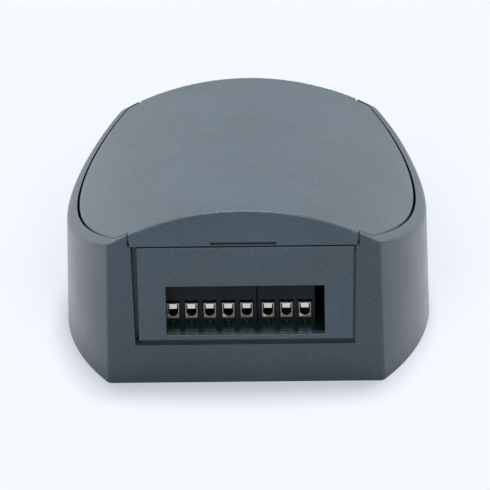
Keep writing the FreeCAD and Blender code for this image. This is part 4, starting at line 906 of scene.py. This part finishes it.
@dataclass
class AxialParts:
    """Resistors and diodes that lie on the board with bent leads."""

    body_length: float = 6.3  # length of a resistor's body
    body_radius: float = 1.15  # radius of its thick ends
    waist: float = 0.98  # radius between its ends
    # Radius of the corners of its rounded ends, and their distance from the end.
    dome: tuple[tuple[float, float], ...] = ((0.0, 0.0), (0.5, 0.0), (0.9, 0.1))
    shoulder: float = 0.35  # distance from an end at which the body is thick
    end_length: float = 1.3  # length of a thick end
    waist_inset: float = 1.5  # distance from an end at which the waist starts
    # Place, width and finish of each colour band along the body.
    bands: tuple[tuple[float, float, Finish], ...] = (
        (-2.1, 0.5, BAND_BROWN),
        (-1.0, 0.42, BAND_BLACK),
        (-0.1, 0.42, BAND_ORANGE),
        (2.1, 0.5, BAND_GOLD),
    )
    diode_ease: float = 0.08  # rounding of the diodes' edges
    diode_radius: float = 1.3  # radius of a diode's body
    ring_place: float = 1.5  # distance of a diode's ring from its middle
    ring_width: float = 0.8  # width of the ring
    ring_sink: float = 0.1  # how far the ring reaches into the body
    ring_rise: float = 0.015  # how far it stands out
    ring_slope: float = 0.02  # width of its sloping edge
    lead_radius: float = 0.45  # radius of a lead, with a margin
    margins: tuple[float, float] = (0.01, 0.05)  # added to a body's half length and to its radius

    def build(self) -> None:
        """Builds the resistors over their leads, then the diodes and their rings."""
        self.add_resistors()
        self.add_diodes()

    def bodies(self, node: str, radius: float) -> list[tuple[Place, Axis]]:
        """Finds the middle and the direction of each part in a node.

        Args:
            node: Node of the CAD model.
            radius: Radius of the parts' bodies.

        Returns:
            The middle of each body, and its axis.
        """
        found = []
        for low, high in extents(node):
            along = Axis.X if high.x - low.x > high.y - low.y else Axis.Y
            found.append((((low.x + high.x) / 2, (low.y + high.y) / 2, high.z - radius), along))
        return found

    def add_resistors(self) -> None:
        """Turns each resistor's lacquered body, thick at its ends, with its colour bands."""
        places = self.bodies("resistors", self.body_radius)
        mesh = merged_copy("resistors")
        stripped = [vert for vert in mesh.verts if self.off_lead(vert.co / MM, places)]
        bmesh.ops.delete(mesh, geom=stripped, context="VERTS")
        bmesh.ops.holes_fill(mesh, edges=[edge for edge in mesh.edges if edge.is_boundary])
        for face in mesh.faces:
            face.material_index = 1
        for middle, along in places:
            for face in turned(mesh, self.body_profile(), middle, along, steps=24):
                place = (face.calc_center_median() / MM - Vector(middle)).dot(Vector(along.value))
                face.material_index = self.band_at(place)
        finishes = [RESISTOR_LACQUER, TIN] + [band[2] for band in self.bands]
        Piece("resistors_finished", mesh, finishes, "resistors", True).finish()

    def off_lead(self, point: Vector, places: list[tuple[Place, Axis]]) -> bool:
        """Whether a point of the CAD shape belongs to a body and not to a lead.

        Args:
            point: The point.
            places: Middle and axis of each body.

        Returns:
            True for a point of a body's outside.
        """
        half, radius = self.body_length / 2 + self.margins[0], self.body_radius + self.margins[1]
        for middle, along in places:
            away = point - Vector(middle)
            height = away.dot(Vector(along.value))
            out = (away - Vector(along.value) * height).length
            if abs(height) <= half and out < radius:
                return out > self.lead_radius
        return False

    def band_at(self, place: float) -> int:
        """Number of the finish at a place along a resistor's body.

        Args:
            place: Distance from the body's middle.

        Returns:
            The band's number, or 0 for bare lacquer.
        """
        for number, (middle, width, _) in enumerate(self.bands, start=2):
            if abs(place - middle) < width / 2:
                return number
        return 0

    def body_profile(self) -> Profile:
        """Profile of a resistor's body with a step at each edge of a band.

        Returns:
            Radius and height of each corner.
        """
        half = self.body_length / 2
        stops = {sign * (half - inset) for sign in (-1, 1) for inset in (self.shoulder, self.waist_inset)}
        for middle, width, _ in self.bands:
            stops |= {middle - width / 2, middle + width / 2}
        profile = [(radius, -half + inset) for radius, inset in self.dome]
        for height in sorted(stops):
            thick = abs(height) > half - self.end_length
            profile.append((self.body_radius if thick else self.waist, height))
        return profile + [(radius, half - inset) for radius, inset in reversed(self.dome)]

    def add_diodes(self) -> None:
        """Dresses the diodes and prints the ring at one end of each."""
        dress("diodes", CHIP_EPOXY, LEADS, ease=self.diode_ease)
        mesh = bmesh.new()
        half, slope = self.ring_width / 2, self.ring_slope
        inner, outer = self.diode_radius - self.ring_sink, self.diode_radius + self.ring_rise
        ring = [(inner, -half), (outer, -half + slope), (outer, half - slope), (inner, half), (inner, -half)]
        for middle, along in self.bodies("diodes", self.diode_radius):
            place = tuple(Vector(middle) + Vector(along.value) * self.ring_place)
            turned(mesh, ring, place, along, steps=28)
        Piece("diode_rings", mesh, [DIODE_RING], "diodes").finish()


@dataclass
class RadioSection:
    """Microcontroller, crystal, and the upright receiver board with its can and antenna."""

    chip_x: float = -19.4  # place of the microcontroller across the board
    chip_half_width: float = 3.21  # half the width of its body, with a margin
    chip_foot: float = 0.45  # height of its body over the board
    disc_foot: float = 1.1  # height of the disc capacitors over the board

    def build(self) -> None:
        """Dresses each part of the radio section."""
        left, right = self.chip_x - self.chip_half_width, self.chip_x + self.chip_half_width
        foot = BOARD_TOP + self.chip_foot
        legs = (TIN, lambda at, normal: not left <= at.x <= right or at.z < foot)
        dress("microcontroller", CHIP_EPOXY, legs, ease=0.08)
        dress("crystal", CRYSTAL_CAN, ease=0.15)
        dress("radio_board", RADIO_BOARD, ease=0.05)
        dress("radio_header", CHIP_EPOXY, (NICKEL, LEADS[1]), ease=0.05)
        dress("radio_chip", CHIP_EPOXY, ease=0.05)
        dress("radio_shield_can", TINNED_SHEET, ease=0.08)
        dress("antenna_wire", WIRE_PVC, ease=0.0)
        dress("antenna_clips", CLIP_PA)
        dress("ceramic_capacitors", CERAMIC_DIP, (TIN, under(BOARD_TOP + self.disc_foot)), ease=0.3)


@dataclass
class Controls:
    """Learn buttons with their housings and domes, and the indicator lamps."""

    mould_ease: float = 0.12  # rounding of the mouldings' edges
    cup_radius: float = 0.62  # radius of the reflector cup in a lamp
    cup_rise: float = 1.6  # height of the cup's foot over the board
    # Corners of the cup and its post: radius as a share of the cup's, and height over its foot.
    cup: tuple[tuple[float, float], ...] = (
        (0.0, 0.35),
        (0.3, 0.35),
        (1.0, 0.85),
        (1.1, 0.8),
        (0.5, 0.0),
        (0.35, -0.9),
        (0.0, -0.9),
    )

    def build(self) -> None:
        """Dresses the buttons and lamps, and sets the reflector cup on its post inside each lamp."""
        dress("button_housings", BUTTON_HOUSING, ease=self.mould_ease)
        dress("button_domes", NICKEL, ease=0.0)
        dress("learn_button_1", BUTTON_POM, ease=self.mould_ease)
        dress("learn_button_2", BUTTON_POM, ease=self.mould_ease)
        dress("status_leds", LAMP_RESIN, LEADS, ease=0.0)
        mesh = bmesh.new()
        profile = [(self.cup_radius * share, height) for share, height in self.cup]
        for low, high in extents("status_leds"):
            middle = (low + high) / 2
            turned(mesh, profile, (middle.x, middle.y, BOARD_TOP + self.cup_rise))
        Piece("lamp_cups", mesh, [TIN], "status_leds").finish()


@dataclass
class RadioReceiver:
    """The whole module."""

    # Its sub-assemblies, in the order in which they are built.
    assemblies: tuple[type, ...] = (
        Enclosure,
        TerminalRow,
        MainBoard,
        PowerSupply,
        AxialParts,
        RadioSection,
        Controls,
    )

    def build(self) -> None:
        """Builds every sub-assembly."""
        for assembly in self.assemblies:
            log.info("building %s", assembly.__name__)
            assembly().build()


# Studio and camera


@dataclass(frozen=True)
class Lamp:
    """A far soft lamp."""

    name: str  # name of the lamp
    strength: float  # its strength
    softness: float  # angle that it fills as seen from the object, in degrees
    tilt: tuple[float, float]  # its turns about X and Y from straight overhead, in degrees

    def build(self) -> None:
        """Hangs the lamp."""
        lamp = bpy.data.lights.new(self.name, "SUN")
        lamp.energy = self.strength
        lamp.angle = math.radians(self.softness)
        holder = bpy.data.objects.new(self.name, lamp)
        holder.rotation_euler = (*(math.radians(turn) for turn in self.tilt), 0.0)
        bpy.context.scene.collection.objects.link(holder)


@dataclass
class Studio:
    """Plain light tent with a pale sweep, and the camera of the reference view."""

    tent: str = "#EEF2F8"  # colour of the tent's light
    ambient: float = 0.21  # strength of the tent's light
    backdrop: str = "#F6F9FF"  # colour that the camera sees behind and under the object
    sweep_half: float = 3.0  # half the side of the sweep, in metres
    sweep_seen: str = "#E5E8EE"  # colour of the sweep where it is seen, in plain light
    sweep_bounce: str = "#B0B2B6"  # colour of the light that it throws back on the object
    sweep_glow: float = 0.23  # light that the sweep adds where it is seen, so that it stays pale
    fibre: float = 2.5  # size of the paper's fibres
    fibre_tone: float = 0.01  # share by which they vary its colour
    # The main lamp and the front lamp.
    lamps: tuple[Lamp, ...] = (
        Lamp("key_lamp", 1.8, 20.0, (-12.0, 2.5)),
        Lamp("fill_lamp", 0.95, 55.0, (50.0, 2.0)),
    )
    yaw: float = -1.388  # camera's turn about the vertical, in degrees
    elevation: float = 24.0  # camera's height above the horizon, in degrees
    roll: float = -1.193  # camera's roll, in degrees
    picture: int = 490  # side of the reference picture, in pixels
    focal_pixels: float = 4449.0  # focal length in pixels of that picture
    sensor: float = 36.0  # width of the camera's sensor
    nearest: float = 0.05  # distance from which the camera sees, in metres
    aim: Place = (0.48, -49.0, 41.3)  # point in the middle of the picture
    distance: float = 1210.7  # from the camera to that point

    def build(self) -> None:
        """Sets up the view, the tent, the sweep, the lamps and the camera."""
        bpy.context.scene.view_settings.view_transform = "Standard"
        self.build_tent()
        self.build_sweep()
        for lamp in self.lamps:
            lamp.build()
        self.build_camera()

    def seen_directly(self, graph: Graph) -> Socket:
        """Marks rays from the camera and through gloss or glass.

        Args:
            graph: Nodes of the material or the world.

        Returns:
            Output that is 1 for those rays.
        """
        path = graph.add("ShaderNodeLightPath").outputs
        either = graph.maths("MAXIMUM", path["Is Camera Ray"], path["Is Glossy Ray"])
        return graph.maths("MAXIMUM", either, path["Is Transmission Ray"])

    def build_tent(self) -> None:
        """Surrounds the object with an even pale light."""
        world = bpy.data.worlds.new("light_tent")
        bpy.context.scene.world = world
        world.use_nodes = True
        graph = Graph(world.node_tree)
        graph.tree.nodes.clear()
        light, back = (
            graph.add("ShaderNodeBackground", {"Color": linear(code), "Strength": strength}).outputs[0]
            for code, strength in ((self.tent, self.ambient), (self.backdrop, 1.0))
        )
        either = graph.add("ShaderNodeMixShader", {0: self.seen_directly(graph), 1: light, 2: back})
        graph.add("ShaderNodeOutputWorld", {0: either.outputs[0]})

    def build_sweep(self) -> None:
        """Lays the pale floor under the object."""
        mesh = bmesh.new()
        bmesh.ops.create_grid(mesh, x_segments=2, y_segments=2, size=self.sweep_half)
        data = bpy.data.meshes.new("sweep")
        mesh.to_mesh(data)
        mesh.free()
        sweep = bpy.data.objects.new("sweep", data)
        bpy.context.scene.collection.objects.link(sweep)
        paper = bpy.data.materials.new("paper_sweep_matt")
        paper.use_nodes = True
        graph = Graph(paper.node_tree)
        graph.tree.nodes.clear()
        place = graph.add("ShaderNodeTexCoord").outputs["Object"]
        fibres = {"Vector": place, "Scale": 1 / (self.fibre * MM), "Detail": 2.0}
        share = graph.add("ShaderNodeTexNoise", fibres).outputs["Fac"]
        dark, pale = (linear(self.sweep_seen, 1 + sign * self.fibre_tone) for sign in (-1, 1))
        seen = self.seen_directly(graph)
        colour = graph.mix(seen, linear(self.sweep_bounce), graph.mix(share, dark, pale))
        matt = graph.add("ShaderNodeBsdfDiffuse", {"Roughness": 0.5, "Color": colour})
        strength = graph.maths("MULTIPLY", seen, self.sweep_glow)
        glow = graph.add("ShaderNodeEmission", {"Color": linear(self.backdrop), "Strength": strength})
        both = graph.add("ShaderNodeAddShader", {0: matt.outputs[0], 1: glow.outputs[0]})
        graph.add("ShaderNodeOutputMaterial", {0: both.outputs[0]})
        data.materials.append(paper)

    def build_camera(self) -> None:
        """Places the camera that took the reference view."""
        yaw, elevation, roll = (math.radians(angle) for angle in (self.yaw, self.elevation, self.roll))
        flat = math.cos(elevation)
        forward = Vector((math.sin(yaw) * flat, math.cos(yaw) * flat, -math.sin(elevation)))
        lens = bpy.data.cameras.new("reference_camera")
        lens.sensor_width = self.sensor
        lens.lens = self.focal_pixels / self.picture * self.sensor
        lens.clip_start = self.nearest
        view = bpy.data.objects.new("reference_camera", lens)
        turn = Matrix.Rotation(-yaw, 4, "Z") @ Matrix.Rotation(math.pi / 2 - elevation, 4, "X")
        turn @= Matrix.Rotation(roll, 4, "Z")
        view.matrix_world = Matrix.Translation(placed(self.aim) - forward * self.distance * MM) @ turn
        bpy.context.scene.collection.objects.link(view)
        bpy.context.scene.camera = view


def main() -> None:
    """Builds the studio and the module."""
    logging.basicConfig(level=logging.INFO, format="%(message)s")
    Studio().build()
    RadioReceiver().build()


if __name__ == "__main__":
    main()
